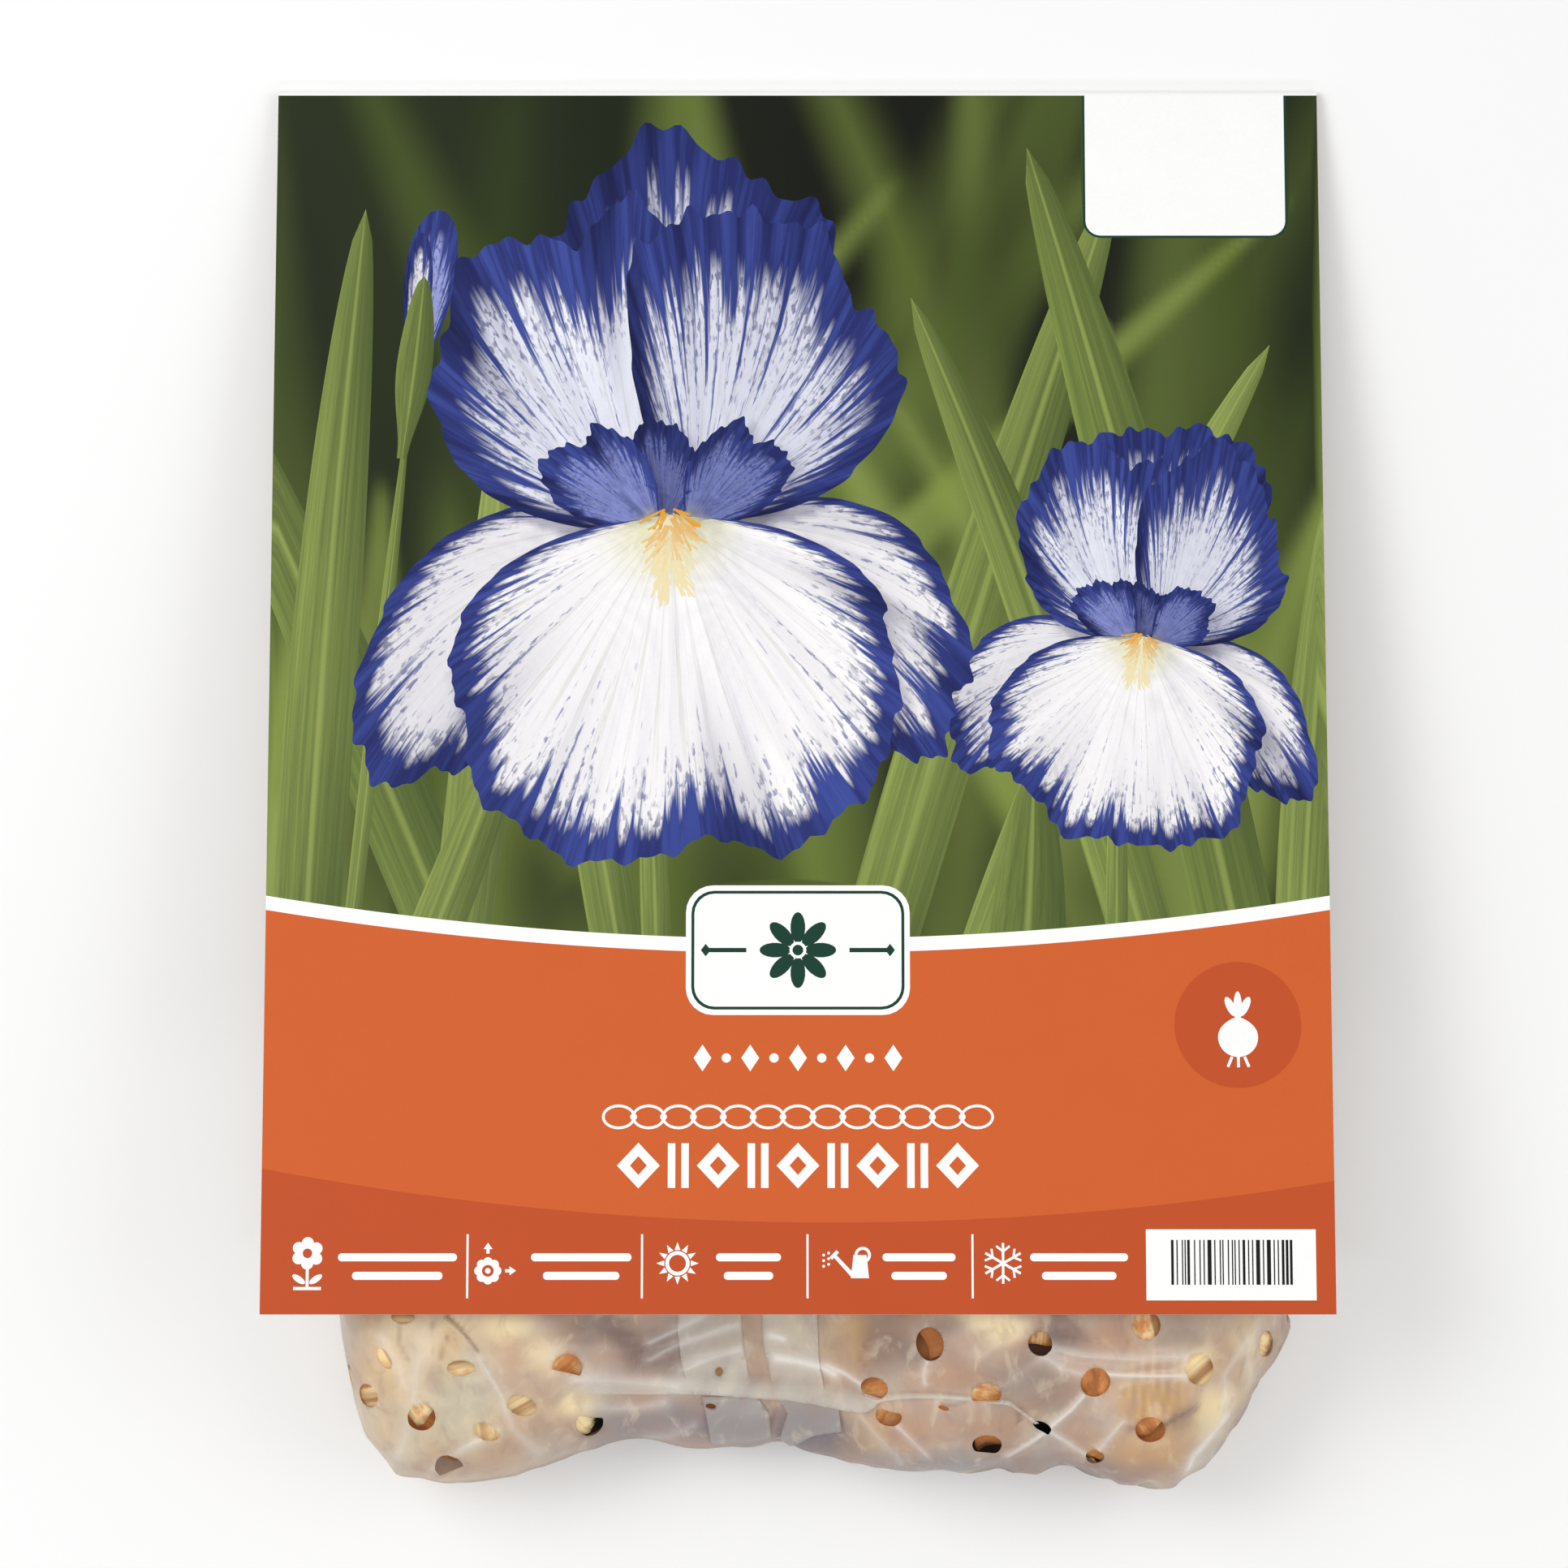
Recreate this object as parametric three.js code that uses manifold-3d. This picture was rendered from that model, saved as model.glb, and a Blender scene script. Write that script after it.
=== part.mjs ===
// A bare-root iris rhizome in its shop pack: one rhizome with a cut-back leaf fan, bedded in wood shavings
// in a vented film bag, under a tall header card that is folded over the mouth of the bag.
// Millimetres. The pack lies on its back: +X is to the right of the printed panel, +Y runs up the panel to
// the fold, and +Z is up, out of the printed panel. The origin is under the middle of the footprint, on the
// surface that the pack lies on. While it is built, y = 0 is the lower edge of the front panel.
import * as THREE from "three";
import { mergeVertices } from "three/addons/utils/BufferGeometryUtils.js";
import Module from "manifold-3d";

const wasm = await Module();
wasm.setup();

// ---------------------------------------------------------------- driving dimensions

const card = {
  width: 215,
  front: 252, // front panel, fold to lower edge
  back: 246,
  board: 0.5,
  foldGap: 1.2, // between the panels at the fold
  tilt: THREE.MathUtils.degToRad(9.6), // the front panel leans up over the filled bag
};

const bag = {
  mouthHalfWidth: 100, // half the width of the flat film tube
  mouthY: 226,
  length: 264, // mouth to the lowest corner
  wall: 0.6,
  cardSpace: 1.6, // from the front film up to the card: room for the lap seam and the glue
  bedBottom: 0.8, // underside of the filled stretch, just clear of the back panel
  mouthBottom: 1.6, // underside at the mouth, over the glue
  mouthRise: [80, 50], // the underside rises between these distances from the mouth
  seamShare: 0.36, // the side edges lie at this share of the bag's height
  sideRound: 26,
  endRound: 30,
  footRound: 13,
};

// Where the film is slack, as shares of its full height: from y = -20 down, fading out by y = 22.
const slack = {
  from: -20,
  to: 22,
  everywhere: 0.07,
  dips: [
    { x: -10, width: 27, depth: 0.34 },
    { x: -92, width: 16, depth: 0.1 },
    { x: 97, width: 14, depth: 0.12 },
  ],
};

// The lower edge of the bag, left to right: two full corners with a slack waist between them.
const bagLowerEdge = [
  [-94, -3],
  [-92, -14],
  [-90, -22],
  [-85, -31.5],
  [-76, -36.4],
  [-66, -36.8],
  [-52, -33.6],
  [-34, -28.2],
  [-18, -30.4],
  [-4, -28.8],
  [14, -34],
  [34, -34.8],
  [54, -32.8],
  [66, -37],
  [77, -38.3],
  [86, -29.8],
  [94, -17],
  [100, -4],
];

// The vents below the card, in plan, as they lie on the bulging film.
const shownVents = [
  [-82, -9.5],
  [-68, -11],
  [-46.5, -10.5],
  [-87, -17.5],
  [-56, -20],
  [-76, -22],
  [-63, -25],
  [-40.5, -24.5],
  [-72, -32],
  [26.5, -6],
  [48.5, -6],
  [70, -3.5],
  [95, -8],
  [15, -16],
  [38, -16],
  [60, -14.5],
  [81, -12],
  [17.5, -23.5],
  [49.5, -24.5],
  [71, -24.5],
  [38, -28],
  [60, -30.5],
];

const vent = {
  radius: 3.1,
  sides: 8,
  pitch: 22, // across the film, in rows that are staggered by half of it
  widest: 92, // no vent lies further from the middle
  frontRows: [13],
  backRows: [-20, -2, 16],
};
const lap = { x: -10, width: 29, rise: 0.5, sink: 0.35, end: 0.985 }; // the lapped seam, flat on the front
const glue = { length: 150, height: 9, thickness: 0.5, fromMouth: 0.5 };
const seatGap = 0.3; // between pieces that touch

const bed = {
  filmGap: 0.6, // from the film
  gap: 0.4, // round what is bedded in it
  fanGap: 0.55, // round the leaf fan
  stemGap: 2.1, // round the stem, whose rings and knobs stand out of its smooth room
  coreInset: 8, // the dense middle keeps this far inside the film
  coreTopY: 96,
  curls: 72,
  curlInset: [2, 4], // from the film to the crest of a curl
  curlReach: [7.5, 9], // from its crest to its edges, which sink in the dense middle
  curlRadius: [9.5, 19],
  curlWidth: [9, 16],
  chipThickness: 1,
};

// The rhizome lies along a gentle curve, old end first.
const rhizome = {
  spine: [
    [-56, 12, 20],
    [-41, 26, 20.5],
    [-22, 39, 19.5],
    [-4, 49, 17.5],
    [10, 58, 16],
  ],
  halfWidth: 17,
  halfDepth: 12.5,
  rings: 9,
  ringDepth: 0.055,
};

const sideGrowths = [
  { along: 0.52, side: 1, length: 17, radius: 8.5, lift: -2 },
  { along: 0.8, side: -1, length: 13, radius: 6.5, lift: 0 },
];

const root = {
  count: 11,
  radius: 1.4,
  tipShare: 0.55, // of its radius, at the cut tip
  length: [20, 44],
  nearestY: -21, // roots are bent clear of the film below this
  lowest: 4.5,
  highest: 16,
  sides: 5,
  steps: 4,
};

const fan = {
  foot: [13, 60.5, 15.5],
  footRadius: 8.3,
  footFlatness: 0.62,
  heading: THREE.MathUtils.degToRad(50), // from +X, in the plane of the pack
  dip: THREE.MathUtils.degToRad(5), // the flat fan sinks towards the thin end of the bag
  leaves: 7,
  spread: THREE.MathUtils.degToRad(38),
  length: 68,
  baseWidth: 11,
  thickness: 1.5,
};

// ---------------------------------------------------------------- small tools

const { lerp, smoothstep, clamp } = THREE.MathUtils;
const ALONG_X = new THREE.Vector3(1, 0, 0);
const ALONG_Y = new THREE.Vector3(0, 1, 0);
const UP = new THREE.Vector3(0, 0, 1);
const UNSCALED = new THREE.Vector3(1, 1, 1);

const bump = (value, centre, width) => Math.exp(-(((value - centre) / width) ** 2));

// A quarter round: 0 at the edge, 1 from radius onwards.
const rounded = (distance, radius) => Math.sqrt(1 - (1 - clamp(distance / radius, 0, 1)) ** 2);

// A repeatable row of random numbers between 0 and 1.
function randomFrom(seed) {
  let state = seed;
  return () => {
    state = (state * 1664525 + 1013904223) % 4294967296;
    return state / 4294967296;
  };
}

const between = (random, [low, high]) => lerp(low, high, random());

function solidFrom(geometry) {
  const bare = geometry.index ? geometry.toNonIndexed() : geometry.clone();
  for (const name of Object.keys(bare.attributes)) {
    if (name !== "position") bare.deleteAttribute(name);
  }
  const merged = mergeVertices(bare, 1e-4);
  const vertProperties = merged.attributes.position.array;
  const triVerts = new Uint32Array(merged.index.array);
  return new wasm.Manifold(new wasm.Mesh({ numProp: 3, vertProperties, triVerts }));
}

function geometryFrom(solid) {
  const mesh = solid.getMesh();
  const geometry = new THREE.BufferGeometry();
  geometry.setAttribute("position", new THREE.BufferAttribute(mesh.vertProperties, 3));
  geometry.setIndex(new THREE.BufferAttribute(mesh.triVerts, 1));
  return geometry;
}

const union = (solids) => wasm.Manifold.union(solids);

// Scraps that a cut leaves behind are dropped.
const largestBody = (solid) => solid.decompose().reduce((a, b) => (b.volume() > a.volume() ? b : a));

// A closed skin through rings of points, each ring with the same count, with a fan over both ends.
function loft(rings) {
  const count = rings[0].length;
  const last = rings.length - 1;
  const middle = (ring) => ring.reduce((sum, p) => sum.add(p), new THREE.Vector3()).divideScalar(count);
  const points = [...rings.flat(), middle(rings[0]), middle(rings[last])];
  const startPole = rings.length * count;
  const index = [];
  for (let i = 0; i < count; i++) {
    const next = (i + 1) % count;
    for (let r = 0; r < last; r++) {
      const a = r * count + i;
      const b = r * count + next;
      index.push(a, b, b + count, a, b + count, a + count);
    }
    index.push(startPole, next, i);
    index.push(startPole + 1, last * count + i, last * count + next);
  }
  const geometry = new THREE.BufferGeometry().setFromPoints(points);
  geometry.setIndex(index);
  return solidFrom(geometry);
}

function placed(geometry, position, turn) {
  return geometry.applyMatrix4(new THREE.Matrix4().compose(position, turn, UNSCALED));
}

const extruded = (shape, depth, curveSegments) =>
  new THREE.ExtrudeGeometry(shape, { depth, curveSegments, bevelEnabled: false });

// A profile drawn as (y, z), extruded along X and centred on x = 0.
function extrudedAcross(profile, length) {
  const geometry = extruded(profile, length, 8);
  geometry.applyMatrix4(new THREE.Matrix4().makeBasis(ALONG_Y, UP, ALONG_X));
  return geometry.translate(-length / 2, 0, 0);
}

// ---------------------------------------------------------------- header card

const foldY = card.front * Math.cos(card.tilt);
const foldInner = card.foldGap / 2;
const foldOuter = foldInner + card.board;
const foldEnd = Math.PI / 2 - card.tilt; // where the fold's round meets the front panel

// Where the front panel starts, on the fold's round of that radius.
const panelStart = (radius) =>
  new THREE.Vector2(foldY + radius * Math.cos(foldEnd), foldOuter + radius * Math.sin(foldEnd));

// Height of the hidden face of the front panel, at y.
function cardUnderside(y) {
  const start = panelStart(foldInner);
  return start.y + (start.x - y) * Math.tan(card.tilt);
}

// Back panel, fold and front panel, as one folded board.
function headerCard() {
  const downPanel = new THREE.Vector2(-Math.cos(card.tilt), Math.sin(card.tilt)).multiplyScalar(card.front);
  const outerEdge = panelStart(foldOuter).add(downPanel);
  const innerEdge = panelStart(foldInner).add(downPanel);
  const profile = new THREE.Shape();
  profile.moveTo(foldY - card.back, 0);
  profile.lineTo(foldY, 0);
  profile.absarc(foldY, foldOuter, foldOuter, -Math.PI / 2, foldEnd, false);
  profile.lineTo(outerEdge.x, outerEdge.y);
  profile.lineTo(innerEdge.x, innerEdge.y);
  profile.absarc(foldY, foldOuter, foldInner, foldEnd, -Math.PI / 2, true);
  profile.lineTo(foldY - card.back, card.board);
  profile.closePath();
  return extrudedAcross(profile, card.width);
}

// ---------------------------------------------------------------- film bag

const lowerEdge = new THREE.SplineCurve(bagLowerEdge.map(([x, y]) => new THREE.Vector2(x, y)));

// The share of the room under the card that the film takes up. It is full but for its low end, which has a
// slack waist and two sloping shoulders, and the lumps of the bed.
function fullness(x, y) {
  const lowEnd = 1 - smoothstep(y, slack.from, slack.to);
  const dips = slack.dips.reduce((sum, dip) => sum + dip.depth * bump(x, dip.x, dip.width), slack.everywhere);
  const smallLumps = 0.04 * Math.sin(x / 9.5 + 1.3) * Math.sin(y / 12 + 0.4);
  const longLumps = 0.03 * Math.sin(x / 17 - y / 21);
  return clamp(1 - lowEnd * (dips - smallLumps - longLumps), 0, 1);
}

// Heights of the full bag at a place in plan: its underside, its top, and the level of its side edge.
function bagLevels(x, y) {
  const [riseStart, riseEnd] = bag.mouthRise;
  const risen = smoothstep(y, bag.mouthY - riseStart, bag.mouthY - riseEnd);
  const bottom = lerp(bag.bedBottom, bag.mouthBottom, risen);
  const roof = cardUnderside(Math.max(y, 0)) - bag.cardSpace;
  const top = lerp(bottom, roof, fullness(x, y));
  return { bottom, top, edge: lerp(bottom, top, bag.seamShare) };
}

// A point of the bag's skin, inset from its outer face. s runs from the left edge (-1) to the right (1),
// t from the mouth (0) to the lower edge (1), and side is 1 for the front and -1 for the back.
function bagPoint(s, t, side, inset) {
  const low = lowerEdge.getPointAt((s + 1) / 2);
  const x = lerp(bag.mouthHalfWidth * s, low.x, t) * (1 - inset / bag.mouthHalfWidth);
  const y = lerp(bag.mouthY, low.y + inset, t);
  const { bottom, top, edge } = bagLevels(x, y);
  const fromSide = (1 - Math.abs(s)) * bag.mouthHalfWidth;
  const fromEnd = (1 - t) * bag.length;
  const level = side > 0 ? top - inset : bottom + inset;
  const [sideRound, endRound] = side > 0 ? [bag.sideRound, bag.endRound] : [bag.footRound, bag.footRound];
  const share = rounded(fromSide, sideRound) * rounded(fromEnd, endRound);
  return new THREE.Vector3(x, y, lerp(edge, level, share));
}

// Rows of film crowd together towards the lower edge, where it curves most.
const filmRow = (share, topY, end) => lerp((bag.mouthY - topY) / bag.length, end, 1 - (1 - share) ** 1.6);

// Columns of film crowd together a little towards the side edges.
const filmColumn = (share) => 0.5 * Math.sin((share - 0.5) * Math.PI) + share - 0.5;

// The closed pillow inside the bag's skin, inset from its outer face, from topY down.
function pillow(inset, topY, columns = 20, rows = 15) {
  const rings = [];
  for (let r = rows; r >= 0; r--) {
    const t = filmRow(r / rows, topY, 1);
    const ring = [];
    for (let c = 0; c <= columns; c++) ring.push(bagPoint(filmColumn(c / columns), t, 1, inset));
    for (let c = columns - 1; c > 0; c--) ring.push(bagPoint(filmColumn(c / columns), t, -1, inset));
    rings.push(ring);
  }
  return loft(rings);
}

// A point of the lapped seam: share runs across it from -1 to 1, and lift is above the film.
function lapPoint(share, t, lift) {
  const s = (lap.x + (share * lap.width) / 2) / bag.mouthHalfWidth;
  return bagPoint(s, t, 1, 0).addScaledVector(UP, lift);
}

// The lapped seam: a double strip down the front, a little proud of the film.
function lapSeam() {
  const rows = 15;
  const across = [-1, -0.33, 0.33, 1];
  const rings = [];
  for (let r = rows; r >= 0; r--) {
    const t = filmRow(r / rows, bag.mouthY, lap.end);
    const over = across.map((share) => lapPoint(share, t, lap.rise));
    const under = across.map((share) => lapPoint(-share, t, -lap.sink));
    rings.push([...over, ...under]);
  }
  return loft(rings);
}

// Places of the vents in one row across the film, with the lap seam left whole.
function ventRow(y, stagger) {
  const places = [];
  for (let x = stagger * vent.pitch - 4 * vent.pitch; x <= vent.widest; x += vent.pitch) {
    const onSeam = Math.abs(x - lap.x) < lap.width / 2 + vent.radius;
    if (x >= -vent.widest && !onSeam) places.push([x, y]);
  }
  return places;
}

const staggeredRows = (rows) => rows.flatMap((y, n) => ventRow(y, (n % 2) / 2));

// Punches that go straight through the front film or the back film only.
function ventPunches(places, side) {
  const reach = 50;
  const punch = new THREE.CylinderGeometry(vent.radius, vent.radius, reach, vent.sides);
  punch.rotateX(Math.PI / 2);
  return places.map(([x, y]) => {
    const middle = bagLevels(x, y).edge + side * (reach / 2 + bag.wall);
    return solidFrom(punch.clone().translate(x, y, middle));
  });
}

function filmBag() {
  const skin = pillow(0, bag.mouthY).subtract(pillow(bag.wall, bag.mouthY + 4));
  const front = ventPunches([...shownVents, ...staggeredRows(vent.frontRows)], 1);
  const back = ventPunches(staggeredRows(vent.backRows), -1);
  return largestBody(skin.add(lapSeam()).subtract(union([...front, ...back])));
}

// ---------------------------------------------------------------- glue strips

// A strip of glue near the mouth of the bag, whose underside is given as a function of y.
function glueStrip(underside) {
  const upperY = bag.mouthY - glue.fromMouth;
  const lowerY = upperY - glue.height;
  const corners = [
    [lowerY, underside(lowerY)],
    [upperY, underside(upperY)],
    [upperY, underside(upperY) + glue.thickness],
    [lowerY, underside(lowerY) + glue.thickness],
  ];
  return extrudedAcross(new THREE.Shape(corners.map(([y, z]) => new THREE.Vector2(y, z))), glue.length);
}

const glueFront = () => glueStrip((y) => cardUnderside(y) - seatGap - glue.thickness);
const glueBack = () => glueStrip(() => card.board + seatGap);

// ---------------------------------------------------------------- rhizome and roots

const spine = new THREE.CatmullRomCurve3(rhizome.spine.map((p) => new THREE.Vector3(...p)));

// Relative girth along the rhizome: a blunt old end, a waist at each new season, and a taper at the tip.
function girth(along, ringDepth) {
  const blunt = rounded(Math.max(along, 0.014), 0.12);
  const seasons = 1 - 0.13 * bump(along, 0.36, 0.05) - 0.1 * bump(along, 0.68, 0.05);
  const taper = 1 - 0.42 * smoothstep(along, 0.72, 1);
  const leafScars = 1 + ringDepth * Math.cos(along * rhizome.rings * 2 * Math.PI);
  return blunt * seasons * taper * leafScars;
}

// The stout stem itself. grow swells it on all sides.
function rhizomeBody(grow, around, steps, ringDepth) {
  const rings = [];
  for (let r = 0; r <= steps; r++) {
    const along = r / steps;
    const tangent = spine.getTangentAt(along);
    const lateral = new THREE.Vector3().crossVectors(UP, tangent).normalize();
    const beyond = grow * ((r === steps) - (r === 0));
    const centre = spine.getPointAt(along).addScaledVector(tangent, beyond);
    const size = girth(along, ringDepth);
    const ring = [];
    for (let a = 0; a < around; a++) {
      const angle = (a / around) * 2 * Math.PI;
      const knobs = 1 + 0.035 * Math.sin(angle * 3 + along * 9) + 0.03 * Math.sin(angle * 5 - along * 14);
      const wide = Math.cos(angle) * (rhizome.halfWidth * size * knobs + grow);
      const high = Math.sin(angle) * (rhizome.halfDepth * size * knobs + grow);
      ring.push(centre.clone().addScaledVector(lateral, wide).addScaledVector(UP, high));
    }
    rings.push(ring);
  }
  return loft(rings);
}

// A short side growth with a pointed bud, one of next season's fans.
function sideGrowth({ along, side, length, radius, lift }, grow) {
  const tangent = spine.getTangentAt(along);
  const lateral = new THREE.Vector3().crossVectors(UP, tangent).normalize().multiplyScalar(side);
  const heading = lateral.clone().addScaledVector(tangent, 0.55).normalize();
  const profile = [
    [0, 0],
    [radius + grow, 0],
    [radius * 1.06 + grow, length * 0.35],
    [radius * 0.8 + grow, length * 0.7],
    [radius * 0.3 + grow, length * 0.95 + grow],
    [0, length * 1.08 + grow],
  ];
  const bud = new THREE.LatheGeometry(profile.map(([x, y]) => new THREE.Vector2(x, y)), 10);
  const start = spine.getPointAt(along).addScaledVector(lateral, rhizome.halfWidth * 0.62);
  start.z += lift;
  return solidFrom(placed(bud, start, new THREE.Quaternion().setFromUnitVectors(ALONG_Y, heading)));
}

// The wavy line of one root, from the lower flank of the rhizome out into the bed.
function rootPath(along, random, grow) {
  const tangent = spine.getTangentAt(along);
  const lateral = new THREE.Vector3().crossVectors(tangent, UP).normalize();
  const length = between(random, root.length) + rhizome.halfWidth * 0.5;
  const heading = lateral.clone().addScaledVector(tangent, lerp(-0.45, 0.45, random()));
  heading.setZ(-0.1).normalize();
  const start = spine.getPointAt(along).addScaledVector(lateral, rhizome.halfWidth * 0.45);
  start.z -= rhizome.halfDepth * lerp(0.35, 0.62, random());
  const reach = Math.min(length, (start.y - root.nearestY) / -heading.y) + grow;
  const phase = random() * 6;
  const points = [];
  for (let k = 0; k <= root.steps; k++) {
    const share = k / root.steps;
    const point = start.clone().addScaledVector(heading, share * reach);
    point.addScaledVector(tangent, 2.4 * share * Math.sin(phase + k * 1.15));
    point.z = clamp(point.z + 1.6 * share * Math.sin(phase * 1.7 + k * 1.4), root.lowest, root.highest);
    points.push(point);
  }
  return new THREE.CatmullRomCurve3(points);
}

// A tapering root along its line.
function rootAlong(path, grow) {
  const rings = [];
  for (let k = 0; k <= root.steps; k++) {
    const share = k / root.steps;
    const tangent = path.getTangentAt(share);
    const beside = new THREE.Vector3().crossVectors(tangent, UP).normalize();
    const above = new THREE.Vector3().crossVectors(beside, tangent).normalize();
    const radius = root.radius * lerp(1, root.tipShare, share) + grow;
    const ring = [];
    for (let a = 0; a < root.sides; a++) {
      const angle = (-a / root.sides) * 2 * Math.PI;
      const point = path.getPointAt(share).addScaledVector(beside, Math.cos(angle) * radius);
      ring.push(point.addScaledVector(above, Math.sin(angle) * radius));
    }
    rings.push(ring);
  }
  return loft(rings);
}

function roots(grow) {
  const random = randomFrom(20);
  const made = [];
  for (let n = 0; n < root.count; n++) {
    const along = lerp(0.14, 0.9, n / (root.count - 1));
    made.push(rootAlong(rootPath(along, random, grow), grow));
  }
  return made;
}

// The stem with all that grows from it, swollen by grow.
const withGrowths = (stem, grow) =>
  union([stem, ...sideGrowths.map((growth) => sideGrowth(growth, grow)), ...roots(grow)]);

const rhizomeSolid = () => withGrowths(rhizomeBody(0, 16, 27, rhizome.ringDepth), 0);

// The room that the rhizome takes up in the bed: smoother, and larger all round.
const rhizomeRoom = () => withGrowths(rhizomeBody(bed.stemGap, 12, 18, 0), bed.gap);

// ---------------------------------------------------------------- leaf fan

// One cut-back sword leaf: a flat blade that widens a little from its foot and ends in a slanting cut.
function swordLeaf(angle, lift, length, slant, grow) {
  const half = fan.baseWidth / 2 + grow;
  const third = length / 3;
  const blade = new THREE.Shape();
  blade.moveTo(-grow, -half * 0.8);
  blade.bezierCurveTo(third, -half * 1.05, 2 * third, -half * 1.15, length - slant + grow, -half * 1.1);
  blade.lineTo(length + slant + grow, half * 1.1);
  blade.bezierCurveTo(2 * third, half * 1.15, third, half * 1.05, -grow, half * 0.8);
  blade.closePath();
  const depth = fan.thickness + 2 * grow;
  const geometry = extruded(blade, depth, 5);
  return solidFrom(geometry.translate(0, 0, lift - depth / 2).rotateZ(angle));
}

// The flat fan: leaves in two ranks that sheathe each other at their common foot.
function leafFan(grow) {
  const parts = [];
  for (let n = 0; n < fan.leaves; n++) {
    const share = n / (fan.leaves - 1) - 0.5;
    const length = fan.length * (1 - 0.68 * Math.abs(share));
    const lift = (n % 2 ? 1 : -1) * fan.thickness * 0.42 * (1 + Math.abs(share));
    parts.push(swordLeaf(share * fan.spread, lift, length, share * 9, grow));
  }
  const radius = fan.footRadius + grow;
  const foot = new THREE.CylinderGeometry(radius, radius, 2 * radius, 14);
  foot.rotateZ(-Math.PI / 2).scale(1, 1, fan.footFlatness).translate(fan.footRadius * 0.8, 0, 0);
  parts.push(solidFrom(foot));
  const turn = new THREE.Quaternion().setFromEuler(new THREE.Euler(0, fan.dip, fan.heading, "ZYX"));
  const place = new THREE.Matrix4().compose(new THREE.Vector3(...fan.foot), turn, UNSCALED);
  return union(parts).transform(place.elements);
}

// ---------------------------------------------------------------- wood shavings

// One planer curl: a thin strip rolled about its own axis, with its crest towards +X.
function curl(radius, width, halfSweep) {
  const inner = radius - bed.chipThickness;
  const section = new THREE.Shape();
  section.absarc(-radius, 0, radius, -halfSweep, halfSweep, false);
  section.absarc(-radius, 0, inner, halfSweep, -halfSweep, true);
  section.closePath();
  return extruded(section, width, 2).translate(0, 0, -width / 2);
}

// Steps that spread points evenly over a square, however many there are.
const EVEN_SPREAD = [0.75487767, 0.56984029];

// A curl that lies under the film with its crest outwards, two of every three on the side that shows.
function rootedCurl(n, random) {
  const side = n % 3 ? 1 : -1;
  const s = lerp(-0.95, 0.95, (n * EVEN_SPREAD[0]) % 1);
  const t = (bag.mouthY - lerp(-31, bed.coreTopY, ((n * EVEN_SPREAD[1]) % 1) ** 1.2)) / bag.length;
  const inset = between(random, bed.curlInset);
  const crest = bagPoint(s, t, side, inset);
  const acrossFilm = bagPoint(s + 0.02, t, side, inset).sub(crest);
  const upFilm = bagPoint(s, t - 0.01, side, inset).sub(crest);
  const outward = acrossFilm.clone().cross(upFilm).multiplyScalar(side).normalize();
  const axis = acrossFilm.normalize().applyAxisAngle(outward, random() * Math.PI);
  const basis = new THREE.Matrix4().makeBasis(outward, axis.clone().cross(outward), axis);
  const radius = between(random, bed.curlRadius);
  const halfSweep = Math.acos(1 - between(random, bed.curlReach) / radius);
  const shape = curl(radius, between(random, bed.curlWidth), halfSweep);
  return solidFrom(placed(shape, crest, new THREE.Quaternion().setFromRotationMatrix(basis)));
}

// The whole bed: curls round a dense middle, pressed flat by the film, with room for what is bedded in it.
function shavings(room) {
  const random = randomFrom(7);
  const pieces = [pillow(bed.coreInset, bed.coreTopY, 10, 6)];
  for (let n = 0; n < bed.curls; n++) pieces.push(rootedCurl(n, random));
  const heap = union(pieces).intersect(pillow(bag.wall + bed.filmGap, bag.mouthY + 4));
  return largestBody(heap.subtract(room));
}

// ---------------------------------------------------------------- the pack

const fanRoom = leafFan(bed.fanGap);

const film = { transparent: true, opacity: 0.55 };
const pieces = [
  { name: "header_card", geometry: headerCard(), color: 0xd56736, roughness: 0.55 },
  { name: "film_bag", geometry: geometryFrom(filmBag()), color: 0xe6ddd6, roughness: 0.3, ...film },
  { name: "glue_front", geometry: glueFront(), color: 0xe9e2c8, roughness: 0.5 },
  { name: "glue_back", geometry: glueBack(), color: 0xe9e2c8, roughness: 0.5 },
  {
    name: "rhizome",
    geometry: geometryFrom(largestBody(rhizomeSolid().subtract(fanRoom))),
    color: 0x9a6b42,
    roughness: 0.8,
  },
  { name: "leaf_fan", geometry: geometryFrom(leafFan(0)), color: 0x8f9a55, roughness: 0.7 },
  {
    name: "shavings",
    geometry: geometryFrom(shavings(union([rhizomeRoom(), fanRoom]))),
    color: 0xd8b47c,
    roughness: 0.85,
  },
];

const pack = new THREE.Group();
for (const { name, geometry, ...finish } of pieces) {
  const mesh = new THREE.Mesh(geometry, new THREE.MeshStandardMaterial({ metalness: 0, ...finish }));
  mesh.name = name;
  pack.add(mesh);
}

// the origin goes under the middle of the footprint
const extent = new THREE.Box3().setFromObject(pack);
pack.position.set(-(extent.min.x + extent.max.x) / 2, -(extent.min.y + extent.max.y) / 2, -extent.min.z);

export default pack;
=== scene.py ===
"""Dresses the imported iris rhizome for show: a printed header card folded over a vented film bag, with the
wood shavings, the rhizome and its cut-back leaf fan inside it. Shapes are worked out in millimetres, in the
frame in which the card's front lower edge is y = 0, and go to metres in the shared frame in to_frame."""

import math
import random
from types import SimpleNamespace

import bmesh
import bpy
import numpy as np
from bpy.props import FloatProperty, FloatVectorProperty, IntProperty, PointerProperty
from mathutils import Matrix, Vector, noise
from mathutils.geometry import delaunay_2d_cdt


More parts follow.
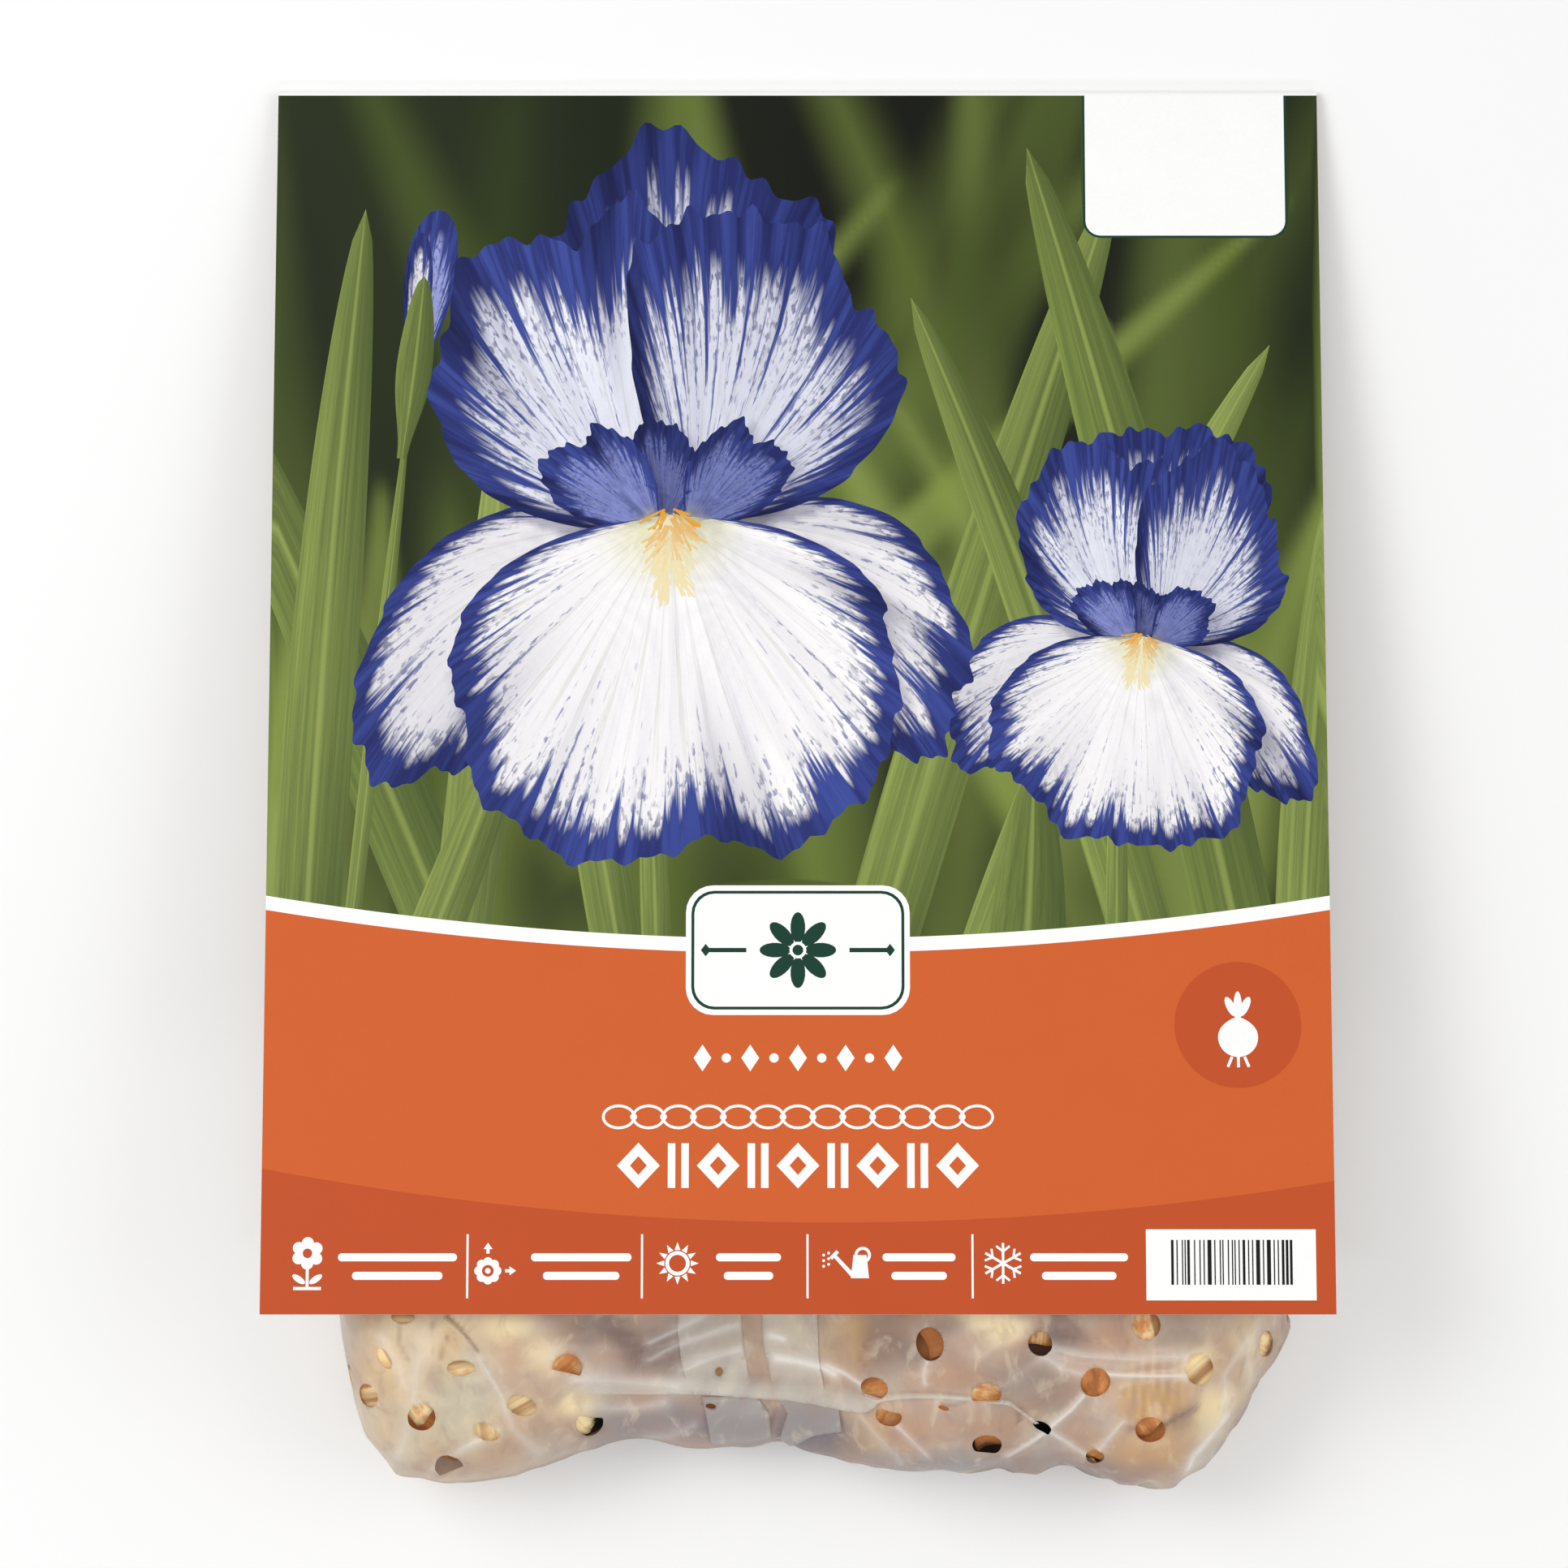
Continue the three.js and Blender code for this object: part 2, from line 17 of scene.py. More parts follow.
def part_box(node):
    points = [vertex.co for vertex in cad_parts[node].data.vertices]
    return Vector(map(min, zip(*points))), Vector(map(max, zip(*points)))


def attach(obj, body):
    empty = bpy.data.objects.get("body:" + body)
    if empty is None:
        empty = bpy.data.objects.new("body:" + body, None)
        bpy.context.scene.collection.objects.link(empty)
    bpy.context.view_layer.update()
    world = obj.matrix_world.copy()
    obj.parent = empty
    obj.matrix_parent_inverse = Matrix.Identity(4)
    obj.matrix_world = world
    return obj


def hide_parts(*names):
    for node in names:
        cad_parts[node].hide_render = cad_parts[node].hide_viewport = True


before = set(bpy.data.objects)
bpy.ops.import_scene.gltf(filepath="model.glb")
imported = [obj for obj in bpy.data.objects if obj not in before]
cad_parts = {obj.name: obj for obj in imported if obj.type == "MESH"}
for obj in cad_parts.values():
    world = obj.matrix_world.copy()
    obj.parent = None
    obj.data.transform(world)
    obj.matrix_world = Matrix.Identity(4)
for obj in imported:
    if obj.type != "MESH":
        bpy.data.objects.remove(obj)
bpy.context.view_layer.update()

bl_info = {
    "name": "Packed Iris Rhizome",
    "version": (1, 0, 0),
    "blender": (4, 5, 0),
    "location": "3D View > Sidebar > Iris Pack",
    "description": "Builds a header card, a vented film bag of shavings and the rhizome inside it",
    "category": "Object",
}

MM = 0.001
ROUND = 2 * math.pi
SIDES = (-1, 1)

# ---- sizes, in millimetres

CARD = SimpleNamespace(width=215.0, front=252.0, back=246.0, board=0.5, fold_gap=1.2, tilt=math.radians(9.6))
HALF = CARD.width / 2
FOLD_Y = CARD.front * math.cos(CARD.tilt)
FOLD_INNER = CARD.fold_gap / 2
FOLD_OUTER = FOLD_INNER + CARD.board
FOLD_END = math.pi / 2 - CARD.tilt
SHIFT_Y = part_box("header_card")[1].y / MM - (FOLD_Y + FOLD_OUTER)

BAG = SimpleNamespace(
    edge=100.0,  # half the width of the flat film, and of the mouth
    mouth_y=226.0, length=264.0, card_space=1.6, bed_bottom=0.8, mouth_bottom=1.6, mouth_rise=(80.0, 50.0),
    seam_share=0.36, side_round=26.0, end_round=30.0, foot_round=13.0,
)
SEEN = 46.0  # the length of film at the foot that is seen, and made finely
BED_TOP = 96.0  # how far up the bag the bed of shavings reaches
SLACK = SimpleNamespace(
    start=-20.0, end=22.0, everywhere=0.07, dips=((-10, 27, 0.34), (-92, 16, 0.1), (97, 14, 0.12))
)
BAG_LOWER_EDGE = (
    (-94, -3), (-92, -14), (-90, -22), (-85, -31.5), (-76, -36.4), (-66, -36.8), (-52, -33.6), (-34, -28.2),
    (-18, -30.4), (-4, -28.8), (14, -34), (34, -34.8), (54, -32.8), (66, -37), (77, -38.3), (86, -29.8),
    (94, -17), (100, -4),
)
# Painted shade: a chip of this tone is drawn near-black, for the shadow in a deep gap between chips.
GAP_SHADE_TONE = 2.0  # the tone of a dark gap between chips
SHOWN_VENTS = (
    # In plan: x, y, half width, half height, turn, the share below or above which a fold hides it, and the
    # tones of what shows in it, from 0, pale, to 1, brown, and above 1.3 darkened to near-black as painted
    # shade of a deep gap: one chip, or two with the way from the lower to the upper one.
    (-83.2, -9.3, 2.4, 1.25, -55, 0, (0.1,)), (-67.6, -11.1, 2.8, 1.6, 0, 0, (0.12,)),
    (-46.4, -11.4, 3.0, 2.9, -14, -0.35, (0.5,)), (-86.7, -17.3, 2.1, 2.5, 20, 0, (0.3,)),
    (-55.6, -19.3, 3.1, 2.0, -25, 0, (0.02,)), (-75.7, -21.3, 2.8, 2.9, 0, 0, (0.25, 0.8, 100)),
    (-62.8, -24.7, 2.8, 1.7, -30, 0, (0.08,)), (-42.2, -23.6, 2.8, 2.9, -12, 0.5, (0.05, GAP_SHADE_TONE, 165)),
    (-70.6, -32.8, 2.9, 3.4, 24, -0.2, ()), (-79.2, -0.7, 2.4, 1.4, 0, 0, (0.1,)),
    (26.4, -6.3, 2.8, 3.4, 8, 0, (1.12, 1.45, 40)), (48.5, -6.0, 2.4, 2.4, 0, 0, (0.5, 1.6, 100)),
    (69.9, -2.6, 2.8, 3.0, 0, 0, (0.42,)), (95.0, -7.6, 1.2, 2.8, -8, 0, (0.25,)),
    (15.4, -15.8, 2.7, 2.2, -15, -0.75, (0.58,)), (37.8, -16.5, 3.0, 2.5, 0, -0.5, (0.48,)),
    (59.8, -14.2, 3.0, 3.1, 0, 0, (0.8,)), (80.7, -11.5, 2.8, 3.2, 0, 0, (0.1,)),
    (18.4, -21.4, 2.6, 2.0, -14, 0.55, (0.5,)), (49.4, -23.6, 2.0, 0.9, -20, 0, (GAP_SHADE_TONE,)),
    (71.0, -24.1, 3.0, 2.6, 0, 0, (0.62, 1.0, 120)), (38.2, -27.5, 3.1, 2.2, -5, -0.7, (1.05, 1.65, 80)),
    (60.0, -30.2, 1.8, 1.6, 0, 0, (0.55,)), (29.3, -19.5, 1.1, 0.5, -15, 0, (0.65,)),
    (-16.0, -13.1, 0.8, 1.0, 0, 0, (0.3,)), (-17.8, -20.3, 1.1, 0.6, -15, 0, (0.9,)),
)
VENT = SimpleNamespace(radius=3.1, pitch=22.0, widest=92.0, front_rows=(13,), back_rows=(-20, -2, 16))
LAP = SimpleNamespace(x=-10.0, width=29.0)

RHIZOME = SimpleNamespace(
    spine=((-56, 12, 20), (-41, 26, 20.5), (-22, 39, 19.5), (-4, 49, 17.5), (10, 58, 16)),
    half_width=17.0, half_depth=12.5, rings=9, ring_depth=0.055,
    root_end=-21.0, root_floor=4.5, root_roof=16.0,  # the room in the bed that the roots stay in
)
FAN = SimpleNamespace(
    foot=(13, 60.5, 15.5), foot_radius=8.3, flatness=0.62, heading=math.radians(50), dip=math.radians(5),
    leaves=7, spread=math.radians(38), length=68.0, base_width=11.0, thickness=1.5,
)

# The print, on the front panel: x across it and up from its lower edge.
DIVIDER = SimpleNamespace(sides=84.5, middle=75.7, width=2.9)
DARK_BAND = SimpleNamespace(left=29.2, middle=18.4, right=26.7)


def srgb(red, green, blue):
    """A colour on the usual 0 to 255 scale, as linear light."""
    shares = (value / 255 for value in (red, green, blue))
    return tuple(v / 12.92 if v <= 0.04045 else ((v + 0.055) / 1.055) ** 2.4 for v in shares)


PAPER_WHITE = srgb(250, 250, 248)
ORANGE = srgb(208, 97, 46)
DEEP_ORANGE = srgb(193, 81, 41)
KEYLINE = srgb(24, 62, 50)
LEAF_LIGHT, LEAF_MID, LEAF_SHADE = srgb(168, 184, 98), srgb(122, 140, 66), srgb(60, 76, 38)
DEEP_SHADE = srgb(20, 22, 14)
PETAL_WHITE, PETAL_BLUE, PETAL_DEEP = srgb(238, 236, 238), srgb(58, 72, 148), srgb(38, 46, 108)

# ---- small tools


def lerp(a, b, share):
    return a + (b - a) * share


def smoothstep(value, low, high):
    share = np.clip((value - low) / (high - low), 0, 1)
    return share * share * (3 - 2 * share)


def bump(value, centre, width):
    return np.exp(-(((value - centre) / width) ** 2))


def rounded(distance, radius):
    """A quarter round: 0 at the edge, 1 from radius onwards."""
    return np.sqrt(1 - (1 - np.clip(distance / radius, 0, 1)) ** 2)


def stacked(*coordinates):
    """Points from each of their coordinates."""
    return np.stack(np.broadcast_arrays(*coordinates), -1)


def unit(vectors):
    return vectors / np.linalg.norm(vectors, axis=-1, keepdims=True)


def along_line(line):
    """How far along a line each of its points lies."""
    return np.concatenate([[0], np.cumsum(np.linalg.norm(np.diff(line, axis=0), axis=1))])


def turned(points, angle):
    cos, sin = math.cos(angle), math.sin(angle)
    return np.asarray(points, float) @ np.array([(cos, sin), (-sin, cos)])


def lumps(points, size, offset=(0, 0, 0)):
    """Smooth noise at each point, the same on every run."""
    return np.array([noise.noise(Vector(p / size + offset)) for p in points])


def to_frame(points):
    """Millimetres in the frame of the shape code, to metres in the shared frame."""
    return (np.asarray(points, float) + (0, SHIFT_Y, 0)) * MM


def in_scene(name, data):
    """A new object in the scene."""
    made = bpy.data.objects.new(name, data)
    bpy.context.scene.collection.objects.link(made)
    return made


def new_piece(name, points, faces, materials=(), smooth=True):
    mesh = bpy.data.meshes.new(name)
    mesh.from_pydata(to_frame(points).tolist(), [], faces)
    for material in materials:
        mesh.materials.append(material)
    mesh.polygons.foreach_set("use_smooth", [smooth] * len(mesh.polygons))
    return in_scene(name, mesh)


def keep(piece, name, values, domain="POINT"):
    """Stores a number, a vector or a colour for each point or corner of a piece."""
    values = np.asarray(values, float)
    width = 1 if values.ndim == 1 else values.shape[-1]
    kind, field = {1: ("FLOAT", "value"), 3: ("FLOAT_VECTOR", "vector"), 4: ("FLOAT_COLOR", "color")}[width]
    piece.data.attributes.new(name, kind, domain).data.foreach_set(field, values.ravel())


def seat(piece, node):
    """Makes a finished piece part of the pack, in place of the named node."""
    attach(piece, "root")
    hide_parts(node)


def face_outwards(piece):
    shape = bmesh.new()
    shape.from_mesh(piece.data)
    bmesh.ops.remove_doubles(shape, verts=shape.verts, dist=1e-6)
    bmesh.ops.recalc_face_normals(shape, faces=shape.faces)
    shape.to_mesh(piece.data)
    shape.free()
    return piece


def remove(piece):
    mesh = piece.data
    bpy.data.objects.remove(piece)
    bpy.data.meshes.remove(mesh)


def joined_pieces(name, pieces):
    """One piece made of several."""
    shape = bmesh.new()
    for piece in pieces:
        shape.from_mesh(piece.data)
    mesh = bpy.data.meshes.new(name)
    shape.to_mesh(mesh)
    shape.free()
    for material in pieces[0].data.materials:
        mesh.materials.append(material)
    made = in_scene(name, mesh)
    for piece in pieces:
        remove(piece)
    return made


def apply_modifiers(piece):
    """Turns a piece with its modifiers into a plain mesh."""
    evaluated = piece.evaluated_get(bpy.context.evaluated_depsgraph_get())
    made = bpy.data.meshes.new_from_object(evaluated)
    piece.modifiers.clear()
    old = piece.data
    piece.data = made
    made.name = piece.name
    if old.users == 0:
        bpy.data.meshes.remove(old)
    return piece


def thicken(piece, thickness):
    wall = piece.modifiers.new("wall", "SOLIDIFY")
    wall.thickness = thickness * MM
    wall.offset = -1
    return apply_modifiers(piece)


def loft_faces(rings, count):
    """Quads between closed rings, with both ends closed by one face."""
    faces = []
    for row in range(0, (rings - 1) * count, count):
        for i in range(count):
            a, b = row + i, row + (i + 1) % count
            faces.append((a, b, b + count, a + count))
    last = (rings - 1) * count
    return faces + [tuple(reversed(range(count))), tuple(range(last, last + count))]


class NodeDesk:
    """Adds nodes to a tree. An input given as a socket is linked, and any other value is set."""

    def __init__(self, tree):
        self.tree = tree

    def give(self, node, values):
        for name, value in values.items():
            if isinstance(name, str):
                name = name.replace("_", " ")
            if isinstance(value, bpy.types.NodeSocket):
                self.tree.links.new(value, node.inputs[name])
            else:
                node.inputs[name].default_value = value

    def add(self, kind, inputs=None, **settings):
        node = self.tree.nodes.new(kind)
        for name, value in settings.items():
            setattr(node, name, value)
        self.give(node, inputs or {})
        return node

    def first(self, kind, inputs=None, **settings):
        """Adds a node and gives its first output."""
        return self.add(kind, inputs, **settings).outputs[0]

    def placed(self, group, **inputs):
        node = self.add("ShaderNodeGroup", node_tree=group)
        self.give(node, inputs)
        return node.outputs

    def math(self, operation, *values, clamp=False):
        return self.first("ShaderNodeMath", dict(enumerate(values)), operation=operation, use_clamp=clamp)

    def times(self, a, b):
        return self.math("MULTIPLY", a, b)

    def plus(self, a, b):
        return self.math("ADD", a, b)

    def vector(self, operation, *values, **inputs):
        return self.first("ShaderNodeVectorMath", dict(enumerate(values)) | inputs, operation=operation)

    def mix(self, share, first, second, blend="MIX"):
        inputs = {0: share, 6: first, 7: second}
        return self.add("ShaderNodeMix", inputs, data_type="RGBA", blend_type=blend).outputs[2]

    def ramp(self, value, low, high, to_low=0.0, to_high=1.0):
        inputs = {"Value": value, 1: low, 2: high, 3: to_low, 4: to_high}
        return self.first("ShaderNodeMapRange", inputs, interpolation_type="SMOOTHSTEP")

    def noise(self, vector, scale, detail=2.0, roughness=0.5, output="Fac", **extra):
        inputs = {"Vector": vector, "Scale": scale, "Detail": detail, "Roughness": roughness, **extra}
        return self.add("ShaderNodeTexNoise", inputs).outputs[output]

    def scaled(self, vector, factors, turn=0.0):
        """Coordinates that are turned about Z and then scaled."""
        if turn:
            vector = self.first("ShaderNodeMapping", {"Vector": vector, "Rotation": (0, 0, turn)})
        return self.first("ShaderNodeMapping", {"Vector": vector, "Scale": factors})

    def joined(self, x, y, z=0.0):
        return self.first("ShaderNodeCombineXYZ", {0: x, 1: y, 2: z})

    def place(self):
        return self.add("ShaderNodeTexCoord").outputs["Object"]

    def attribute(self, name):
        return self.add("ShaderNodeAttribute", attribute_name=name).outputs

    def bumped(self, height, distance, strength=1.0):
        return self.first("ShaderNodeBump", {"Height": height, "Distance": distance, "Strength": strength})


def rgba(colour):
    return (*colour[:3], 1.0)


class Finish(NodeDesk):
    """A material with one Principled shader, whose plain sockets are set here."""

    def __init__(self, name, **fixed):
        self.material = bpy.data.materials.new(name)
        self.material.use_nodes = True
        super().__init__(self.material.node_tree)
        self.tree.nodes.clear()
        self.shader = self.add("ShaderNodeBsdfPrincipled", fixed)
        self.add("ShaderNodeOutputMaterial", {"Surface": self.shader.outputs[0]})

    def feed(self, **links):
        self.give(self.shader, links)
        return self.material


class ShaderGroup(NodeDesk):
    """A new shader group. Its inputs are given by their defaults: None for a place, a number or a colour."""

    def __init__(self, name, **inputs):
        super().__init__(bpy.data.node_groups.new(name, "ShaderNodeTree"))
        for label, default in inputs.items():
            kind = {type(None): "Vector", float: "Float", tuple: "Color"}[type(default)]
            socket = self.tree.interface.new_socket(label, in_out="INPUT", socket_type=f"NodeSocket{kind}")
            if default is not None:
                socket.default_value = default
        self.start = self.add("NodeGroupInput").outputs

    def end(self, **results):
        """Closes the group with its outputs, which are colours where they are named so, and else numbers."""
        for label in results:
            kind = "Color" if label == "Color" else "Float"
            self.tree.interface.new_socket(label, in_out="OUTPUT", socket_type=f"NodeSocket{kind}")
        self.add("NodeGroupOutput", results)
        return self.tree


# ---- shared shader groups

GREY_INPUT = (0.5, 0.5, 0.5, 1)
SHARED = {}


def shared(make):
    """A shader group that several finishes use, made once."""
    if make not in SHARED:
        SHARED[make] = make()
    return SHARED[make]


def fine_grain():
    """Fibres and flecks of paper or dried glue: a height and a mottle round 1."""
    desk = ShaderGroup("Fine grain", Vector=None, Scale=1000.0, Depth=0.1)
    place, scale, depth = desk.start[:3]
    fine = desk.noise(place, scale, 3.0)
    broad = desk.noise(place, desk.times(scale, 0.07), 2.0)
    both = desk.plus(desk.times(fine, 0.6), desk.times(broad, 0.4))
    mottle = desk.plus(desk.times(desk.math("SUBTRACT", both, 0.5), depth), 1.0)
    return desk.end(Height=both, Mottle=mottle)


def wood_figure():
    """Growth lines and pores of planed wood, along X of the coordinates it is given.
    A tone above 1.3 darkens it to near-black, as painted shade of a deep gap.
    """
    colours = dict(Pale=GREY_INPUT, Golden=GREY_INPUT, Dark=GREY_INPUT)
    desk = ShaderGroup("Wood figure", Vector=None, Tone=0.5, **colours)
    place, tone, pale, golden, dark = desk.start[:5]
    shifted = desk.vector("ADD", place, tone)
    lines = desk.noise(desk.scaled(shifted, (12.0, 640.0, 160.0)), 1.0, 3.0, Distortion=0.4)
    pores = desk.noise(desk.scaled(shifted, (90.0, 1500.0, 400.0)), 1.0, 2.0)
    blotches = desk.noise(desk.scaled(shifted, (1.0, 3.0, 2.0)), 260.0, 3.0, 0.6)
    uneven = desk.plus(tone, desk.ramp(blotches, 0.3, 0.7, -0.22, 0.26))
    light = desk.mix(desk.ramp(uneven, 0.1, 0.7), pale, golden)
    ground = desk.mix(desk.ramp(uneven, 0.6, 1.1, 0.0, 0.75), light, dark)
    lined = desk.mix(desk.times(desk.ramp(lines, 0.42, 0.66), 0.8), ground, dark)
    figured = desk.mix(desk.times(desk.ramp(pores, 0.56, 0.72), 0.35), lined, dark)
    # Painted shade: tones from 1.3 to 1.7 turn the wood near-black, for the shadow in a deep gap.
    gap_shadow = desk.mix(desk.ramp(tone, 1.3, 1.7), figured, (0.006, 0.004, 0.002, 1))
    return desk.end(Color=gap_shadow, Height=desk.plus(lines, desk.times(pores, 0.6)))


def crumpled_film():
    """Creases and shallow facets of thin film that is pulled over lumps."""
    desk = ShaderGroup("Crumpled film", Vector=None, Scale=60.0)
    place, scale = desk.start[:2]
    warp = desk.noise(place, desk.times(scale, 0.6), 2.0, output="Color")
    bent = desk.vector("MULTIPLY_ADD", warp, (0.016, 0.016, 0.016), place)
    cells, fine = (
        desk.add("ShaderNodeTexVoronoi", {"Vector": bent, "Scale": size}, feature="F1").outputs["Distance"]
        for size in (scale, desk.times(scale, 2.7))
    )
    drawn = desk.noise(desk.scaled(place, (90.0, 14.0, 40.0)), 1.0, 2.0, Distortion=0.6)
    height = desk.plus(desk.plus(cells, desk.times(fine, 0.3)), desk.times(drawn, 0.35))
    return desk.end(Height=height, Haze=desk.noise(place, desk.times(scale, 0.9), 3.0))


def plant_skin():
    """Blotches, dry streaks and specks of a plant's skin, drawn out along X of its coordinates."""
    colours = dict(Base=GREY_INPUT, Streak=GREY_INPUT, Speck=GREY_INPUT)
    desk = ShaderGroup("Plant skin", Vector=None, Scale=100.0, **colours)
    place, scale, base, streak, speck = desk.start[:5]
    streaks = desk.noise(desk.scaled(place, (0.25, 1.6, 1.0)), scale, 4.0, 0.6)
    specks = desk.noise(place, desk.times(scale, 6.0), 2.0)
    streaked = desk.mix(desk.ramp(streaks, 0.38, 0.66), base, streak)
    speckled = desk.mix(desk.times(desk.ramp(specks, 0.58, 0.7), 0.7), streaked, speck)
    return desk.end(Color=speckled, Height=desk.plus(streaks, desk.times(specks, 0.3)))


# ---- shape of the card and the bag


def panel_start(radius):
    """Where the front panel starts, on the fold's round of that radius, as (y, z)."""
    return FOLD_Y + radius * math.cos(FOLD_END), FOLD_OUTER + radius * math.sin(FOLD_END)


def card_underside(y):
    start_y, start_z = panel_start(FOLD_INNER)
    return start_z + (start_y - y) * math.tan(CARD.tilt)


def on_panel(x, up, depth=0.0):
    """Points of the front panel, that far under its printed face."""
    start_y, start_z = panel_start(FOLD_OUTER - depth)
    down = CARD.front - np.asarray(up, float)
    return stacked(x, start_y - down * math.cos(CARD.tilt), start_z + down * math.sin(CARD.tilt))


def smooth_line(points, count):
    """Catmull-Rom line through the points, as count points evenly spaced along it."""
    knots = np.array([points[0], *points, points[-1]], float)
    share = np.linspace(0, 1, 40, endpoint=False)[:, None]
    spans = []
    for a, b, c, d in zip(knots, knots[1:], knots[2:], knots[3:]):
        start, end = (c - a) / 2, (d - b) / 2
        cubic = (2 * b - 2 * c + start + end) * share**3 + (-3 * b + 3 * c - 2 * start - end) * share**2
        spans.append(cubic + start * share + b)
    dense = np.concatenate([*spans, knots[-1:]])
    along = along_line(dense)
    at = np.linspace(0, along[-1], count)
    return stacked(*(np.interp(at, along, column) for column in dense.T))


LOWER_EDGE = smooth_line(BAG_LOWER_EDGE, 801)


def lower_edge(s):
    share = (np.asarray(s, float) + 1) / 2 * (len(LOWER_EDGE) - 1)
    index = np.arange(len(LOWER_EDGE))
    return np.interp(share, index, LOWER_EDGE[:, 0]), np.interp(share, index, LOWER_EDGE[:, 1])


def fullness(x, y):
    low_end = 1 - smoothstep(y, SLACK.start, SLACK.end)
    dips = SLACK.everywhere + sum(depth * bump(x, at, width) for at, width, depth in SLACK.dips)
    small_lumps = 0.04 * np.sin(x / 9.5 + 1.3) * np.sin(y / 12 + 0.4)
    long_lumps = 0.03 * np.sin(x / 17 - y / 21)
    return np.clip(1 - low_end * (dips - small_lumps - long_lumps), 0, 1)


def bag_levels(x, y):
    """Underside and top of the full bag at places in plan."""
    rise_start, rise_end = BAG.mouth_rise
    risen = smoothstep(y, BAG.mouth_y - rise_start, BAG.mouth_y - rise_end)
    bottom = lerp(BAG.bed_bottom, BAG.mouth_bottom, risen)
    roof = card_underside(np.maximum(y, 0)) - BAG.card_space
    return bottom, lerp(bottom, roof, fullness(x, y))


def bag_point(s, t, side, inset=0.0):
    """Points of the bag's skin: s from the left edge, -1, to the right, 1, t from mouth, 0, to foot, 1."""
    s, t = np.broadcast_arrays(np.asarray(s, float), np.asarray(t, float))
    low_x, low_y = lower_edge(s)
    x = lerp(BAG.edge * s, low_x, t) * (1 - inset / BAG.edge)
    y = lerp(BAG.mouth_y, low_y + inset, t)
    bottom, top = bag_levels(x, y)
    edge = lerp(bottom, top, BAG.seam_share)
    level, aside, below = top - inset, BAG.side_round, BAG.end_round
    if side < 0:
        level, aside, below = bottom + inset, BAG.foot_round, BAG.foot_round
    share = rounded((1 - abs(s)) * BAG.edge, aside) * rounded((1 - t) * BAG.length, below)
    return stacked(x, y, lerp(edge, level, share))


def bag_place(x, y):
    """The s and t of places in plan, found in a few steps."""
    s = np.asarray(x, float) / BAG.edge
    for _ in range(12):
        low_x, low_y = lower_edge(np.clip(s, -1, 1))
        t = (BAG.mouth_y - y) / (BAG.mouth_y - low_y)
        s = s + (x - lerp(BAG.edge * s, low_x, t)) / BAG.edge
    return s, t


# ---- the print: inks and shapes

FLAT_INK, FOLIAGE_INK, PETAL_INK, BLADE_INK, RAW_BOARD = range(5)


def arc(left, middle, right, x):
    """Height of a shallow curve through three heights, at the left edge, the middle and the right edge."""
    share = x / HALF
    return middle + (left + right - 2 * middle) / 2 * share**2 + (right - left) / 2 * share


def circle(x, up, radius, count=28, width=1.0):
    turns = np.linspace(0, ROUND, count, endpoint=False)
    return stacked(x + radius * width * np.cos(turns), up + radius * np.sin(turns))


def bar(x, up, width, height, turn=0.0):
    """A rectangle about its middle."""
    corners = np.array([(-1, -1), (1, -1), (1, 1), (-1, 1)]) * (width / 2, height / 2)
    return turned(corners, turn) + (x, up)


def lozenge(x, up, width, height):
    return np.array([(x - width / 2, up), (x, up - height / 2), (x + width / 2, up), (x, up + height / 2)])


def round_bar(left, low, right, high, radius, count=7):
    """A rectangle with round corners."""
    points = []
    for quarter, (x, up) in enumerate(((right, high), (left, high), (left, low), (right, low))):
        angles = (quarter + np.arange(count) / (count - 1)) * math.pi / 2
        inner_x = x - radius if x == right else x + radius
        inner_up = up - radius if up == high else up + radius
        points.append(stacked(inner_x + radius * np.cos(angles), inner_up + radius * np.sin(angles)))
    return np.concatenate(points)


def painted(colours, shade=1.0, flow=(0, 0, 0)):
    """What an ink gives each point: its colour and shade, and three numbers that its finish follows."""
    return stacked(*colours.T, shade), stacked(*flow, 0 * colours[:, 0])[:, :3]


class Ink:
    """One flat colour inside an outline."""

    kind = FLAT_INK

    def __init__(self, outline, colour):
        self.outline, self.colour = np.asarray(outline, float), colour

    def paint(self, points):
        return painted(np.tile(self.colour, (len(points), 1)))


def inked(colour, *outlines):
    return [Ink(outline, colour) for outline in outlines]


class Grown:
    """A part of a plant, drawn from its foot along its heading and bent aside."""

    def __init__(self, foot, heading, length, bend):
        self.foot, self.heading, self.length, self.bend = foot, math.radians(heading), length, bend

    def outwards(self, along, across):
        across = across + self.bend * along**2 / self.length
        return turned(stacked(along, across), self.heading) + self.foot

    def within(self, points):
        """How far along and across it points lie."""
        along, across = turned(points - np.array(self.foot), -self.heading).T
        return along, across - self.bend * along**2 / self.length


